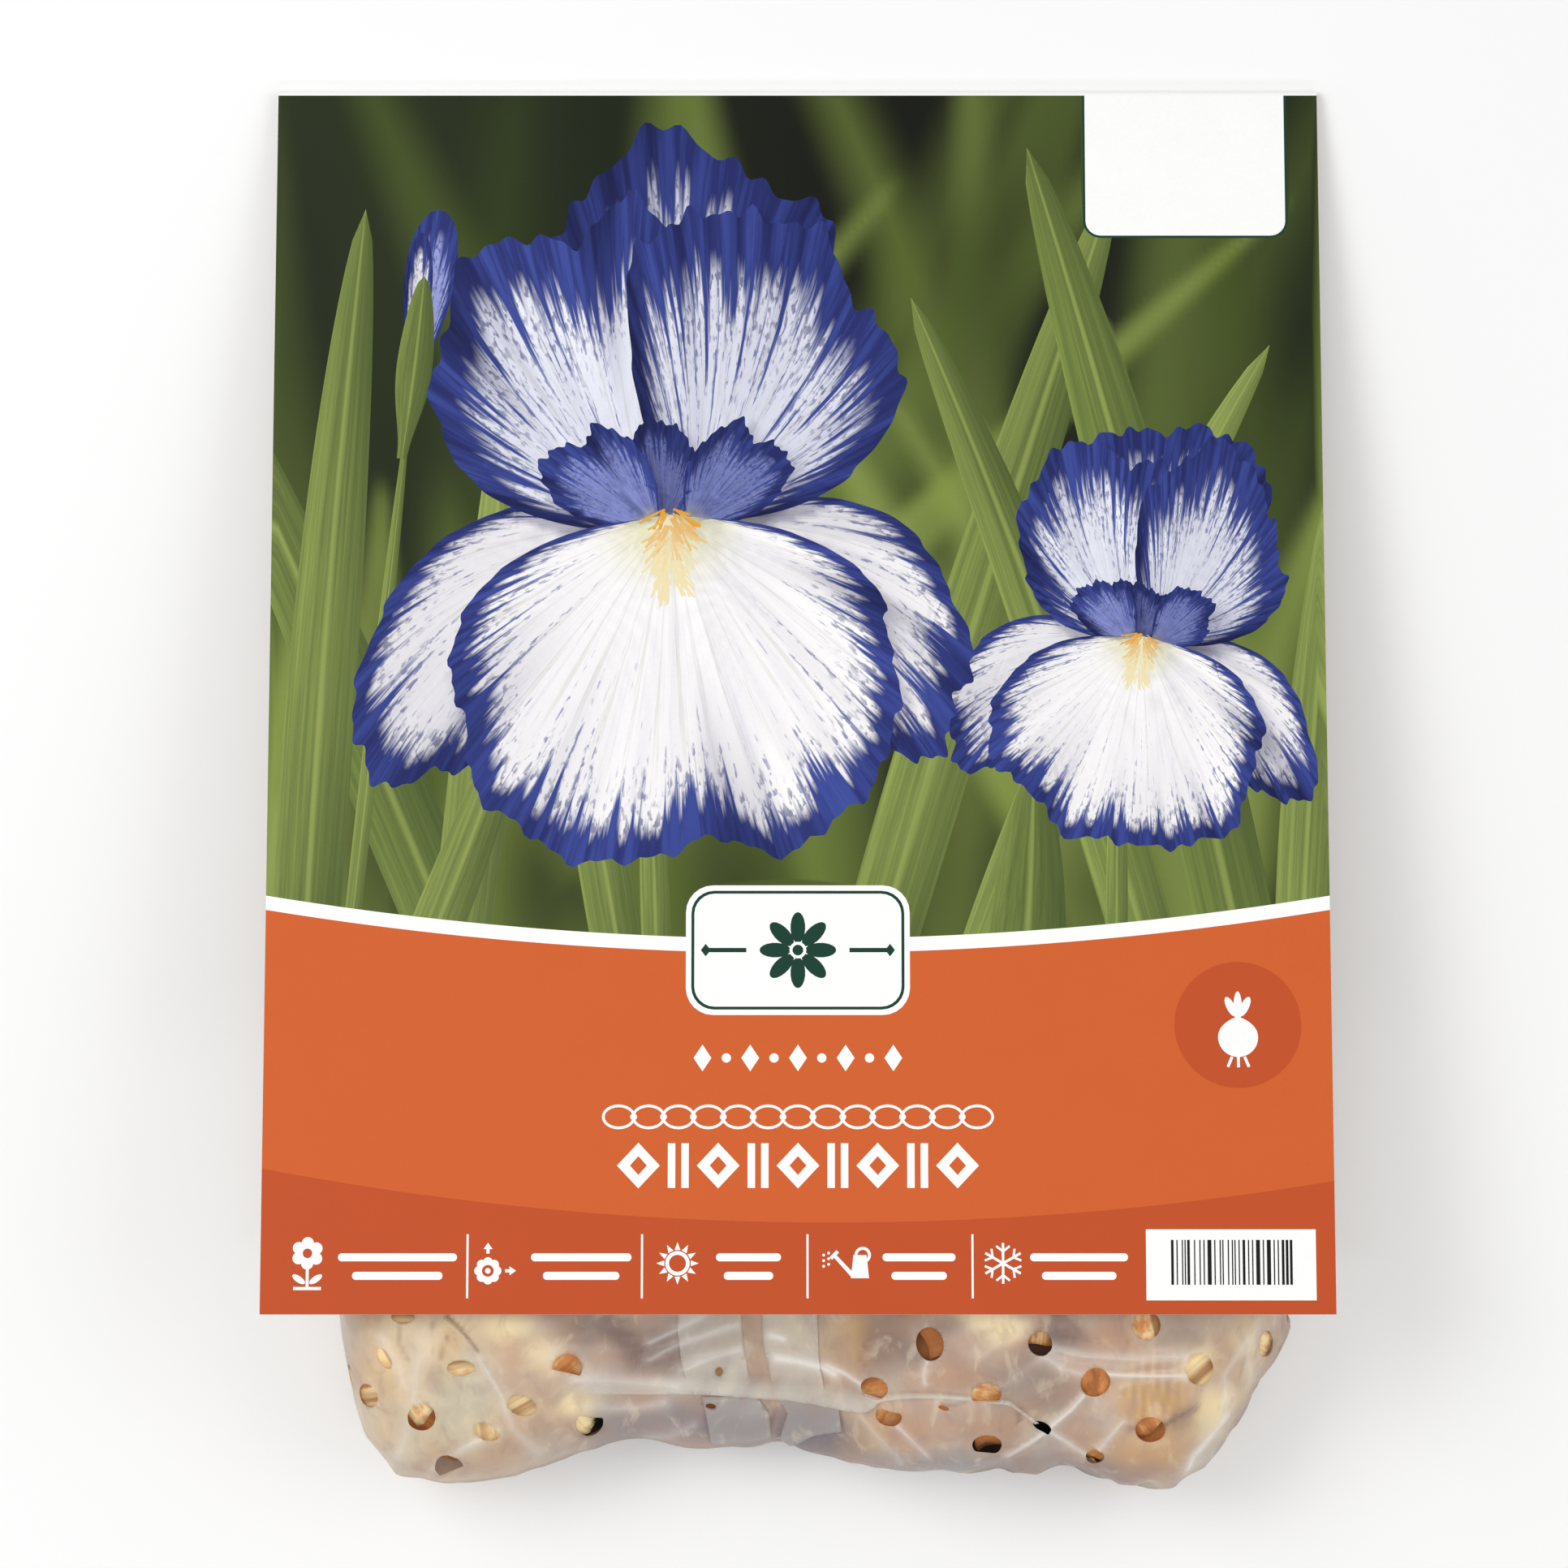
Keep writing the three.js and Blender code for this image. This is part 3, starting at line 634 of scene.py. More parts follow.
class Foliage:
    """The soft green ground behind the blooms: blurred sword leaves, the nearest last."""

    kind = FOLIAGE_INK
    # Where hardly any light falls between the leaves: x, up, half width, half height and strength.
    gloom = (
        (-84, 105, 14, 34, 0.7), (-52, 88, 12, 26, 0.7), (-102, 205, 12, 40, 0.5), (-14, 84, 10, 20, 0.6),
        (22, 96, 12, 34, 0.65), (62, 84, 16, 18, 0.6), (104, 110, 9, 36, 0.6), (38, 214, 14, 26, 0.5),
    )

    def __init__(self, outline, seed, count=54):
        self.outline = outline
        draw = random.Random(seed)
        self.leaves = [self.leaf(draw, n / count) for n in range(count)]

    def leaf(self, draw, nearness):
        mixed = draw.random() * 0.55 + nearness * 0.4
        low, high = (LEAF_SHADE, LEAF_MID) if mixed < 0.5 else (LEAF_MID, LEAF_LIGHT)
        colour = lerp(np.array(low), np.array(high), (mixed * 2) % 1) * lerp(0.45, 0.95, nearness)
        foot = draw.uniform(-150, 150), draw.uniform(-30, 60)
        heading, length = 90 + draw.gauss(0, 22), draw.uniform(150, 330)
        half_width = draw.uniform(5, 13) * lerp(1.2, 0.85, nearness)
        leaf = Grown(foot, heading, length, draw.uniform(-0.12, 0.12))
        softness = lerp(8, 1.6, nearness) * draw.uniform(0.7, 1.3)
        return leaf, half_width, softness, colour, draw.uniform(0.65, 1.0)

    def paint(self, points):
        x, up = points.T
        haze = 0.5 + 0.5 * np.sin(x / 46 + 1.1) * np.sin(up / 57 + 0.6)
        colours = np.array(DEEP_SHADE) * 0.7 + np.outer(haze, np.array(LEAF_SHADE) * 0.35)
        for leaf, half_width, softness, colour, strength in self.leaves:
            along, across = leaf.within(points)
            half = half_width * np.clip(1 - (along / leaf.length) ** 3, 0.001, 1)
            inside = smoothstep(half - abs(across), -softness, softness)
            inside *= smoothstep(leaf.length - along, 0, 3 * softness) * smoothstep(along, -20, 0)
            lit = 1 + 0.22 * np.clip(across / half_width, -1, 1)
            share = (inside * strength)[:, None]
            colours = colours * (1 - share) + colour * lit[:, None] * share
        for at_x, at_up, wide, high, depth in self.gloom:
            near = bump(x, at_x, wide) * bump(up, at_up, high)
            colours = lerp(colours, np.array(DEEP_SHADE), (depth * near)[:, None])
        return painted(colours)


class Blade(Grown):
    """One sharp sword leaf, which tapers to its tip."""

    kind = BLADE_INK

    def __init__(self, foot, heading, length, half_width, bend, tone, waist=0.0):
        super().__init__(foot, heading, length, bend)
        self.half_width, self.tone, self.waist = half_width, tone, waist
        along = np.linspace(0, length, 26)
        half = self.half(along)
        both_along, both_half = np.concatenate([along, along[-2::-1]]), np.concatenate([half, -half[-2::-1]])
        self.outline = self.outwards(both_along, both_half)

    def half(self, along):
        share = np.clip(along / self.length, 0, 1)
        drawn_in = 1 - self.waist * np.exp(-((share / 0.3) ** 2))
        tapered = np.sqrt(np.clip(1 - share**2.6, 0, 1)) * (0.8 + 0.5 * share * (1 - share))
        return self.half_width * tapered * drawn_in

    def paint(self, points):
        along, across = self.within(points)
        across = across / np.maximum(self.half(along), 0.5)
        light = lerp(np.array(LEAF_MID), np.array(LEAF_LIGHT), self.tone)
        share = 0.62 + 0.3 * np.clip(across, -1, 1) + 0.12 * np.sin(along / 23 + self.tone * 9)
        colours = lerp(np.array(LEAF_SHADE) * 0.8, light, share[:, None])
        return painted(colours, 1.0, (across, along / self.length, self.tone * 10))


class Petal(Grown):
    """One ruffled petal: its outline is a reach for each angle round its foot."""

    kind = PETAL_INK
    look = dict(power=0.5, ruffle=0.035, band=7.0, ground=PETAL_WHITE, light=1.0, cup=0.5)

    def __init__(self, foot, heading, length, spread, seed, bend=0.0, **look):
        super().__init__(foot, heading, length, bend)
        self.__dict__.update(self.look | look)
        self.spread, self.above = math.radians(spread), []
        draw = random.Random(seed)
        self.identity = draw.uniform(0, 50)
        self.waves = [(k * draw.uniform(0.85, 1.15), draw.uniform(0, 6.28)) for k in (5, 9, 14, 23, 47, 83)]
        turns = np.linspace(-1, 1, 151)[1:-1] * self.spread
        reach = self.reach(turns)
        edge = self.outwards(reach * np.cos(turns), reach * np.sin(turns))
        self.outline = np.concatenate([edge, [self.foot]])

    def reach(self, turn):
        open_share = np.clip(np.cos(turn / self.spread * math.pi / 2), 0, 1) ** self.power
        sizes = (1.0, 0.8, 0.5, 0.38, 0.3, 0.2)
        wave = sum(size * np.sin(k * turn + phase) for size, (k, phase) in zip(sizes, self.waves))
        return self.length * open_share * (1 + self.ruffle * wave)

    def local(self, points):
        along, across = self.within(points)
        return np.hypot(along, across), np.arctan2(across, along)

    def inside(self, points):
        """How far inside the margin points lie, below 0 outside it."""
        radius, turn = self.local(points)
        return np.where(abs(turn) < self.spread, self.reach(turn) - radius, -radius)

    def height(self, points):
        """The petal's relief, which only its light and shade show."""
        radius, turn = self.local(points)
        share = np.clip(radius / np.maximum(self.reach(turn), 1), 0, 1.2)
        side = turn / self.spread
        dome = self.length * (self.cup * share * (1 - 0.62 * share) - 0.16 * side**2 * share)
        swell, wave, fine = (np.sin(k * turn + phase) for k, phase in self.waves[1:4])
        ruffles = swell + 0.6 * wave + (0.3 * fine + 0.16 * np.sin(self.waves[4][0] * turn))
        pleats = 0.25 * share * np.sin(17 * turn + self.identity)
        return dome + self.length * self.ruffle * 1.5 * share**4 * ruffles + pleats

    def shade(self, points):
        step = 0.4
        here = self.height(points)
        slope_x, slope_up = ((self.height(points + aside) - here) / step for aside in ((step, 0), (0, step)))
        facing = (-0.42 * slope_x - 0.5 * slope_up + 0.76) / np.sqrt(1 + slope_x**2 + slope_up**2) / 0.76
        return np.clip(0.42 + 0.58 * facing, 0.3, 1.16) * self.light

    def paint(self, points):
        radius, turn = self.local(points)
        reach = np.maximum(self.reach(turn), 1e-3)
        shade = self.shade(points)
        for petal in self.above:
            shade = shade * (1 - 0.45 * smoothstep(petal.inside(points + (-1.6, 2.4)), -3.5, 2.5))
        flow = turn + self.identity, radius / self.length, (reach - radius) / self.band
        return painted(np.tile(self.ground, (len(points), 1)), shade, flow)


def bloom(x, up, size, seed, turn=0.0):
    """An open bloom: three upright petals that lean together, three hanging ones, and the beard."""

    def at(dx, dy):
        return tuple(np.array((x, up)) + turned((dx * size, dy * size), math.radians(turn)))

    def petal(dx, dy, heading, length, spread, n, band, **look):
        look["band"] = band * size
        return Petal(at(dx, dy), heading + turn, length * size, spread, seed * 10 + n, **look)

    upright = dict(power=0.55, ruffle=0.045, band=32, ground=srgb(226, 228, 240), cup=0.25)
    hanging = dict(power=0.6, ruffle=0.036, band=15)
    style = dict(power=0.5, ruffle=0.06, band=11, ground=srgb(128, 138, 200))
    petals = [
        petal(1, 6, 88, 66, 66, 1, light=0.76, **upright),
        petal(-5, 1, 199, 62, 42, 2, bend=0.34, light=0.86, **hanging),
        petal(5, 1, -20, 60, 40, 3, bend=-0.36, light=0.9, **hanging),
        petal(-3, 0, 117, 63, 60, 4, bend=-0.16, **upright),
        petal(4, 1, 59, 61, 58, 5, bend=0.2, light=0.94, **upright),
        petal(-1, 0, 96, 20, 60, 9, light=0.55, **style),
        petal(-2, 0, 134, 25, 46, 6, light=0.9, **style),
        petal(3, 0, 48, 24, 46, 7, light=0.8, **style),
        petal(0, 3, -91, 67, 84, 8, power=0.42, ruffle=0.034, band=15, cup=0.34),
    ]
    for n, piece in enumerate(petals):
        piece.above = petals[n + 1 :]
    return petals + beard(at(0, 4), math.radians(-91 + turn), size, seed)


def beard(foot, heading, size, seed):
    """The fuzzy tongue on the hanging petal: fine hairs, orange at the throat and cream at the tip."""
    draw = random.Random(seed + 400)
    hairs = []
    for _ in range(130):
        share = draw.random()
        side = draw.choice(SIDES)
        root = turned((share * 14 * size, side * draw.random() * 2.4 * size), heading) + foot
        length = draw.uniform(2.6, 5.6) * size
        angle = heading + side * math.radians(draw.uniform(8, 75) * (1 - 0.5 * share))
        colour = lerp(np.array(srgb(222, 158, 44)), np.array(srgb(238, 224, 178)), min(1, share * 1.7))
        hairs += inked(colour, bar(*(root + turned((length / 2, 0), angle)), length, 0.42 * size, angle))
    return hairs


def bud(foot, heading, length, seed, root):
    """A closed bud, rolled to a point, in its green sheath, on a stem from its root."""
    blue = srgb(150, 158, 214)
    spear = Petal(foot, heading, length, 20, seed, power=0.75, ruffle=0.008, band=length * 0.5, ground=blue)
    look = dict(power=0.8, ruffle=0.006, band=length * 0.3, light=0.88)
    fold = Petal(foot, heading + 5, length * 0.86, 12, seed + 1, **look)
    low = turned((-length * 0.4, 0), math.radians(heading)) + foot
    sheath = Blade(tuple(low), heading, length * 1.02, length * 0.12, 0.03, 0.4, waist=0.72)
    rise = low + turned((length * 0.25, 0), math.radians(heading)) - root
    stem = Blade(root, math.degrees(math.atan2(rise[1], rise[0])), float(np.hypot(*rise)), 1.9, 0.0, 0.6)
    return [stem, spear, fold, sheath]


# ---- the print: signs, drawn about (0, 0) at size 1, and rows


def ring_of_circles(count, reach, radius, points, start=0.0, up=0.0):
    turns = np.arange(count) * ROUND / count + start
    return [circle(reach * math.cos(a), up + reach * math.sin(a), radius, points) for a in turns]


def flower_sign():
    leaves = (turned(circle(0, 0, 0.17, 16, 2.4), side * 0.6) + (side * 0.46, -1.05) for side in SIDES)
    petals = inked(PAPER_WHITE, *ring_of_circles(6, 0.55, 0.33, 16, 0.5, 0.35), circle(0, 0.35, 0.42, 18))
    plant = inked(PAPER_WHITE, bar(0, -1.05, 0.16, 1.1), *leaves, bar(0, -1.55, 1.5, 0.17))
    return petals + inked(DEEP_ORANGE, circle(0, 0.35, 0.26, 18)) + plant


def spread_sign():
    """A flower with arrows for its height and width."""
    half = [(0.5, 0), (-0.1, 0.42), (-0.1, 0.15), (-0.5, 0.15)]
    arrow = np.array(half + [(x, -up) for x, up in half[:0:-1]])
    arrows = (turned(arrow * 0.62, math.pi / 2) + (0, 1.3), arrow * 0.62 + (1.3, 0))
    petals = inked(PAPER_WHITE, *ring_of_circles(8, 0.5, 0.28, 14), circle(0, 0, 0.5, 20))
    petals += inked(DEEP_ORANGE, circle(0, 0, 0.34, 20))
    return petals + inked(PAPER_WHITE, circle(0, 0, 0.16, 14), *arrows)


def sun_sign():
    rays = (turned([(0.78, 0.17), (1.25, 0), (0.78, -0.17)], angle) for angle in np.arange(12) * math.pi / 6)
    return inked(PAPER_WHITE, *rays, circle(0, 0, 0.72)) + inked(DEEP_ORANGE, circle(0, 0, 0.5))


def water_sign():
    """A watering can and its drops."""
    body = ((-0.1, -0.9), (1.0, -0.9), (0.85, 0.5), (0.05, 0.5))
    spout = ((-0.02, -0.5), (-0.98, 0.5), (-1.14, 0.36), (-0.06, -0.85))
    rose = turned([(-0.3, -0.1), (0.3, -0.1), (0.3, 0.12), (-0.3, 0.12)], 0.8) + (-1.1, 0.5)
    places = ((-1.45 - 0.3 * drop, 0.62 - 0.34 * row - 0.12 * drop) for row in range(3) for drop in range(2))
    handle = inked(PAPER_WHITE, circle(0.62, 0.5, 0.5, 22)) + inked(DEEP_ORANGE, circle(0.62, 0.5, 0.32, 22))
    return handle + inked(PAPER_WHITE, body, spout, rose, *(circle(*place, 0.09, 8) for place in places))


def snow_sign():
    arm = (bar(0.6, 0, 1.2, 0.15), *(bar(0.86, side * 0.2, 0.5, 0.13, side * 0.9) for side in SIDES))
    turns = np.arange(6) * math.pi / 3 + math.pi / 6
    return inked(PAPER_WHITE, *(turned(part, angle) for angle in turns for part in arm))


def bulb_sign():
    """A plain bulb with a sprout."""
    turns = np.linspace(-math.pi, math.pi, 40, endpoint=False)
    pinch = 1 - 0.32 * np.clip(np.cos(turns), 0, 1) ** 3
    bulb = stacked(0.62 * np.sin(turns) * pinch, 0.62 * np.cos(turns) - 0.35)
    parts = [bulb]
    for side, height in ((-1, 0.8), (0, 1.15), (1, 0.8)):
        leaf = turned(circle(0, 0, 0.13, 18, height * 3.2), math.pi / 2 - side * 0.45)
        parts.append(leaf + (side * 0.22, 0.6))
    roots = (bar(side * 0.26, -1.12, 0.09, 0.34, side * 0.4) for side in (-1, 0, 1))
    return inked(PAPER_WHITE, *parts, *roots)


def sign(make, x, up, size):
    return [Ink(part.outline * size + (x, up), part.colour) for part in make()]


def ornament_rows():
    """Three rows of plain ornament under the tablet: small lozenges, a fine chain, and a bold border."""
    high, middle, low = 51.5, 39.6, 29.8
    shapes = []
    for n in range(9):
        x = -19.2 + 4.8 * n
        shapes += inked(PAPER_WHITE, circle(x, high, 0.95, 14) if n % 2 else lozenge(x, high, 3.6, 5.4))
    for x in range(-36, 37, 6):
        shapes += inked(PAPER_WHITE, circle(x, middle, 2.5, 24, 1.35))
        shapes += inked(ORANGE, circle(x, middle, 1.95, 24, 1.45))
    shapes += inked(PAPER_WHITE, *(circle(x, middle, 0.7, 10) for x in range(-33, 34, 6)))
    for n, x in enumerate(range(-32, 33, 8)):
        if n % 2:
            shapes += inked(PAPER_WHITE, *(bar(x + side * 1.35, low, 1.5, 9.0) for side in SIDES))
        else:
            shapes += inked(PAPER_WHITE, lozenge(x, low, 8.6, 9.2)) + inked(ORANGE, lozenge(x, low, 3.4, 3.8))
    return shapes


def tablet():
    """The plain white tablet across the divider, with a keyline and a rosette."""
    middle = 73.4
    shapes = inked(PAPER_WHITE, round_bar(-22.6, 60.2, 22.6, 86.6, 5.5))
    shapes += inked(KEYLINE, round_bar(-21.5, 61.3, 21.5, 85.5, 4.6))
    shapes += inked(PAPER_WHITE, round_bar(-20.9, 61.9, 20.9, 84.9, 4.1))
    petal = circle(4.6, 0, 1.5, 18, 2.1)
    shapes += inked(KEYLINE, *(turned(petal, turn) + (0, middle) for turn in np.arange(8) * math.pi / 4))
    shapes += inked(PAPER_WHITE, circle(0, middle, 1.7, 18)) + inked(KEYLINE, circle(0, middle, 1.1, 18))
    for side in SIDES:
        shapes += inked(KEYLINE, bar(side * 14.2, middle, 7.6, 0.9), lozenge(side * 18.6, middle, 2.0, 2.6))
    return shapes


def sign_row():
    """The row of care signs along the foot of the card, with plain bars for their lines of words."""
    signs = (
        (flower_sign, -98.1, 10.9, 3.7, -92.0, -68.2),
        (spread_sign, -62.0, 8.7, 3.5, -53.4, -33.3),
        (sun_sign, -24.1, 10.2, 3.4, -16.4, -3.4),
        (water_sign, 10.9, 10.2, 3.3, 16.9, 31.5),
        (snow_sign, 41.0, 10.2, 3.4, 46.4, 66.0),
    )
    shapes = []
    for make, x, up, size, left, right in signs:
        inset = (right - left) * 0.12
        lines = (left, 10.6, right, 12.2), (left + inset, 6.9, right - inset, 8.5)
        shapes += sign(make, x, up, size) + inked(PAPER_WHITE, *(round_bar(*line, 0.75, 5) for line in lines))
    return shapes + inked(PAPER_WHITE, *(bar(x, 9.6, 0.42, 12.8) for x in (-66.1, -31.2, 1.9, 34.9)))


def stripe_box():
    """The white box of upright stripes, whose widths are drawn at random and stand for nothing."""
    shapes = inked(PAPER_WHITE, bar(86.6, 9.9, 34.0, 14.2))
    draw = random.Random(5)
    x, end = 74.6, 98.8
    while x < end:
        width = draw.choice((0.27, 0.27, 0.54, 0.81))
        shapes += inked(srgb(26, 24, 26), bar(x + width / 2, 10.4, width, 9.0))
        x += width + draw.choice((0.27, 0.54, 0.54, 0.81))
    return shapes


def band_under(high, count=43):
    """Outline of the panel up to a height for each x."""
    x = np.linspace(-HALF, HALF, count)
    return np.concatenate([stacked(x, 0.0), stacked(x, high(x))[::-1]])


def picture_shapes():
    """Sharp leaves and blooms, in an arrangement of their own."""
    blades = (
        ((-62, 56), 112, 172, 9, 0.03, 0.25), ((12, 60), 74, 182, 9, -0.02, 0.6),
        ((92, 60), 101, 186, 9.5, 0.05, 0.2), ((-100, 60), 88, 168, 8, -0.03, 0.5),
        ((-70, 58), 83, 128, 7, 0.05, 1.0), ((-84, 52), 66, 82, 6, 0.06, 0.95),
        ((-34, 60), 99, 82, 6, 0.03, 0.55), ((34, 62), 71, 150, 6.5, -0.1, 1.0),
        ((44, 50), 84, 60, 9, 0.04, 0.35), ((76, 52), 104, 165, 7.5, 0.08, 0.6),
        ((101, 56), 88, 120, 6.5, -0.05, 0.85),
        ((-28, 58), 92, 64, 3.4, 0.0, 0.6), ((64, 58), 89, 60, 2.6, 0.0, 0.6),  # the stems
    )
    leaves = [Blade(*blade) for blade in blades]
    blooms = bloom(70, 136, 0.66, 8, -7) + bloom(-26, 160, 1.1, 3, 3)
    return leaves + bud((-79, 190), 82, 38, 21, (-92, 60)) + blooms


def print_shapes():
    """Every inked shape of the front, from the lowest layer to the top one."""

    def divider(x):
        return arc(DIVIDER.sides, DIVIDER.middle, DIVIDER.sides, x)

    def dark_band(x):
        return arc(DARK_BAND.left, DARK_BAND.middle, DARK_BAND.right, x)

    shapes = [Foliage(band_under(lambda x: CARD.front), 11), *picture_shapes()]
    shapes += inked(PAPER_WHITE, band_under(divider))
    shapes += inked(ORANGE, band_under(lambda x: divider(x) - DIVIDER.width))
    shapes += inked(DEEP_ORANGE, band_under(dark_band))
    shapes += inked(KEYLINE, round_bar(58.9, 221.6, 101.1, 262, 3.6))
    shapes += inked(PAPER_WHITE, round_bar(59.4, 222.1, 100.6, 262, 3.1))
    shapes += inked(DEEP_ORANGE, circle(88.6, 58.2, 12.8, 60)) + sign(bulb_sign, 88.6, 58.0, 6.5)
    return shapes + tablet() + ornament_rows() + sign_row() + stripe_box()


def clipped(outline):
    """An outline cut to the panel. The panel is convex, so each side cuts in turn."""
    points = [np.array(p) for p in outline]
    for axis, limit, way in ((0, -HALF, 1), (0, HALF, -1), (1, 0.0, 1), (1, CARD.front, -1)):
        made = []
        for a, b in zip(points, points[1:] + points[:1]):
            gap_a, gap_b = way * (a[axis] - limit), way * (b[axis] - limit)
            if gap_a >= 0:
                made.append(a)
            if gap_a * gap_b < 0:
                made.append(a + (b - a) * gap_a / (gap_a - gap_b))
        points = made
    return points


def add_outline(points, faces, outline):
    """Adds an outline to the points and the faces of a cut, with its inside on the left."""
    x, y = np.array(outline, float).T
    order = range(len(points), len(points) + len(outline))
    faces.append(list(order if x @ (np.roll(y, -1) - np.roll(y, 1)) > 0 else reversed(order)))
    points += [Vector(p) for p in outline]


def cut(points, faces):
    """Triangles inside the outlines, with the outlines that each lies in."""
    made = delaunay_2d_cdt(points, [], faces, 1, 1e-4, True)
    return np.array(made[0]), np.array(made[2]), made[5]


def split_panel(shapes, spacing):
    """Cuts the panel along every outline. Gives its points, its triangles and the top shape of each."""
    points, faces, owners = [], [], []
    for n, shape in enumerate(shapes):
        outline = clipped(shape.outline)
        if len(outline) > 2:
            add_outline(points, faces, outline)
            owners.append(n)
    for up in np.arange(DIVIDER.middle - 4, CARD.front - 0.5, spacing):
        points += [Vector((x, up)) for x in np.arange(-HALF + 1.3, HALF - 0.5, spacing)]
    flat, triangles, lies_in = cut(points, faces)
    return flat, triangles, np.array([owners[max(ids)] for ids in lies_in])


# ---- the folded board

BACK_ROWS = (60.0, 120.0, 171.0, 246.0)  # down the back panel from the fold, the last band printed
ARC_STEPS = 12
PATH_STEPS = ARC_STEPS + len(BACK_ROWS)
MAP_LEFT, MAP_RIGHT = 0.85, 0.995  # the column of the bake map that holds all but the front


def board_path(radius):
    """Round the fold from the front panel's top and down the back panel, as (y, z), without its start."""
    angles = np.linspace(FOLD_END, -math.pi / 2, ARC_STEPS + 1)[1:]
    fold = [(FOLD_Y + radius * math.cos(a), FOLD_OUTER + radius * math.sin(a)) for a in angles]
    return fold + [(FOLD_Y - row, FOLD_OUTER - radius) for row in BACK_ROWS]


class Board:
    """Collects the points and faces of the folded board, with a bake map for all of it."""

    def __init__(self):
        self.points, self.faces, self.inks, self.flows, self.kinds, self.map = [], [], [], [], [], []

    def add_points(self, points):
        first = len(self.points)
        self.points += [tuple(p) for p in points]
        return list(range(first, first + len(points)))

    def add_front(self, flat, triangles, shapes, top, places):
        self.add_points(on_panel(*flat.T))
        ink, flow = np.ones((len(triangles), 3, 4)), np.zeros((len(triangles), 3, 3))
        for n, shape in enumerate(shapes):
            own = top == n
            if own.any():
                colours, flows = shape.paint(flat[triangles[own]].reshape(-1, 2))
                ink[own], flow[own] = colours.reshape(-1, 3, 4), flows.reshape(-1, 3, 3)
        self.faces += [tuple(face) for face in triangles.tolist()]
        self.map += places[triangles].reshape(-1, 2).tolist()
        self.inks += ink.reshape(-1, 4).tolist()
        self.flows += flow.reshape(-1, 3).tolist()
        self.kinds += [shapes[n].kind for n in top]

    def add_face(self, corners, places, ink=PAPER_WHITE, kind=RAW_BOARD):
        self.faces.append(tuple(corners))
        self.map += [tuple(place) for place in places]
        self.inks += [rgba(ink)] * len(corners)
        self.flows += [(0.0, 0.0, 0.0)] * len(corners)
        self.kinds.append(kind)

    def add_strip(self, rows, left, right, low, high, inks=None):
        """Quads between rows of points that have the same count, in that part of the bake map."""
        last, end = len(rows) - 1, len(rows[0]) - 1
        for r in range(last):
            for i in range(end):
                corners = ((r, i), (r, i + 1), (r + 1, i + 1), (r + 1, i))
                places = [(lerp(left, right, b / end), lerp(low, high, a / last)) for a, b in corners]
                look = (inks[r], FLAT_INK) if inks else ()
                self.add_face([rows[a][b] for a, b in corners], places, *look)


def card_board(spacing):
    """The whole folded board: the printed front, the fold, the back panel, and the hidden faces."""
    shapes = print_shapes()
    flat, triangles, top = split_panel(shapes, spacing)
    x, up = flat.T
    share_x, share_up = (x + HALF) / CARD.width, up / CARD.front
    board = Board()
    board.add_front(flat, triangles, shapes, top, stacked(0.004 + 0.836 * share_x, 0.006 + 0.988 * share_up))
    used = np.isin(np.arange(len(flat)), triangles)

    def edge(mask, key):
        found = np.nonzero(used & mask)[0]
        return found[np.argsort(key[found])].tolist()

    top_edge, foot_edge = edge(up > CARD.front - 1e-4, x), edge(up < 1e-4, x)
    left_edge, right_edge = edge(x < -HALF + 1e-4, up), edge(x > HALF - 1e-4, up)
    loop = foot_edge + right_edge[1:] + top_edge[-2::-1] + left_edge[-2:0:-1]
    inner_loop = dict(zip(loop, board.add_points(on_panel(x[loop], up[loop], CARD.board))))

    def path_rows(radius, first):
        return [first] + [board.add_points([(at, y, z) for at in x[top_edge]]) for y, z in board_path(radius)]

    def inner(line):
        return [inner_loop[n] for n in line]

    outer_rows = path_rows(FOLD_OUTER, top_edge)
    inner_rows = path_rows(FOLD_INNER, inner(top_edge))
    printed = [PAPER_WHITE] * (PATH_STEPS - 1) + [ORANGE]
    board.add_strip(outer_rows, MAP_LEFT, MAP_RIGHT, 0.70, 0.995, printed)
    board.add_strip([row[::-1] for row in inner_rows], MAP_RIGHT, MAP_LEFT, 0.39, 0.69)
    under = [(lerp(MAP_LEFT, MAP_RIGHT, share_x[n]), 0.09 + 0.29 * share_up[n]) for n in loop[::-1]]
    board.add_face(inner(loop[::-1]), under)
    cut_edges = [(line, inner(line)) for line in (foot_edge[::-1], right_edge[::-1], left_edge)]
    for end, way in ((-1, -1), (0, 1)):
        cut_edges.append([[row[end] for row in rows][::way] for rows in (outer_rows, inner_rows)])
    cut_edges.append((outer_rows[-1], inner_rows[-1]))
    for n, lines in enumerate(cut_edges, 1):
        board.add_strip(lines, MAP_LEFT, MAP_RIGHT, 0.01 * n, 0.01 * n + 0.006)
    return board


def make_card(settings, materials):
    """The folded board, with the colour and the flow of its inks kept at the corners of its faces."""
    board = card_board(settings.spacing)
    piece = new_piece("printed_card", board.points, board.faces, materials, smooth=False)
    piece.data.polygons.foreach_set("material_index", board.kinds)
    keep(piece, "ink", board.inks, "CORNER")
    keep(piece, "flow", board.flows, "CORNER")
    piece.data.uv_layers.new(name="OFBake").data.foreach_set("uv", np.ravel(board.map))
    piece.data.validate()
    return face_outwards(piece)


# ---- finishes of the card


def press_finish(desk, colour):
    """The board's fine tooth under the varnish, on any ink."""
    fibres = desk.placed(shared(fine_grain), Vector=desk.place(), Scale=1500.0, Depth=0.1)
    mottled = desk.mix(1.0, colour, fibres["Mottle"], "MULTIPLY")
    return desk.feed(Base_Color=mottled, Normal=desk.bumped(fibres["Height"], 0.00004, 0.5))


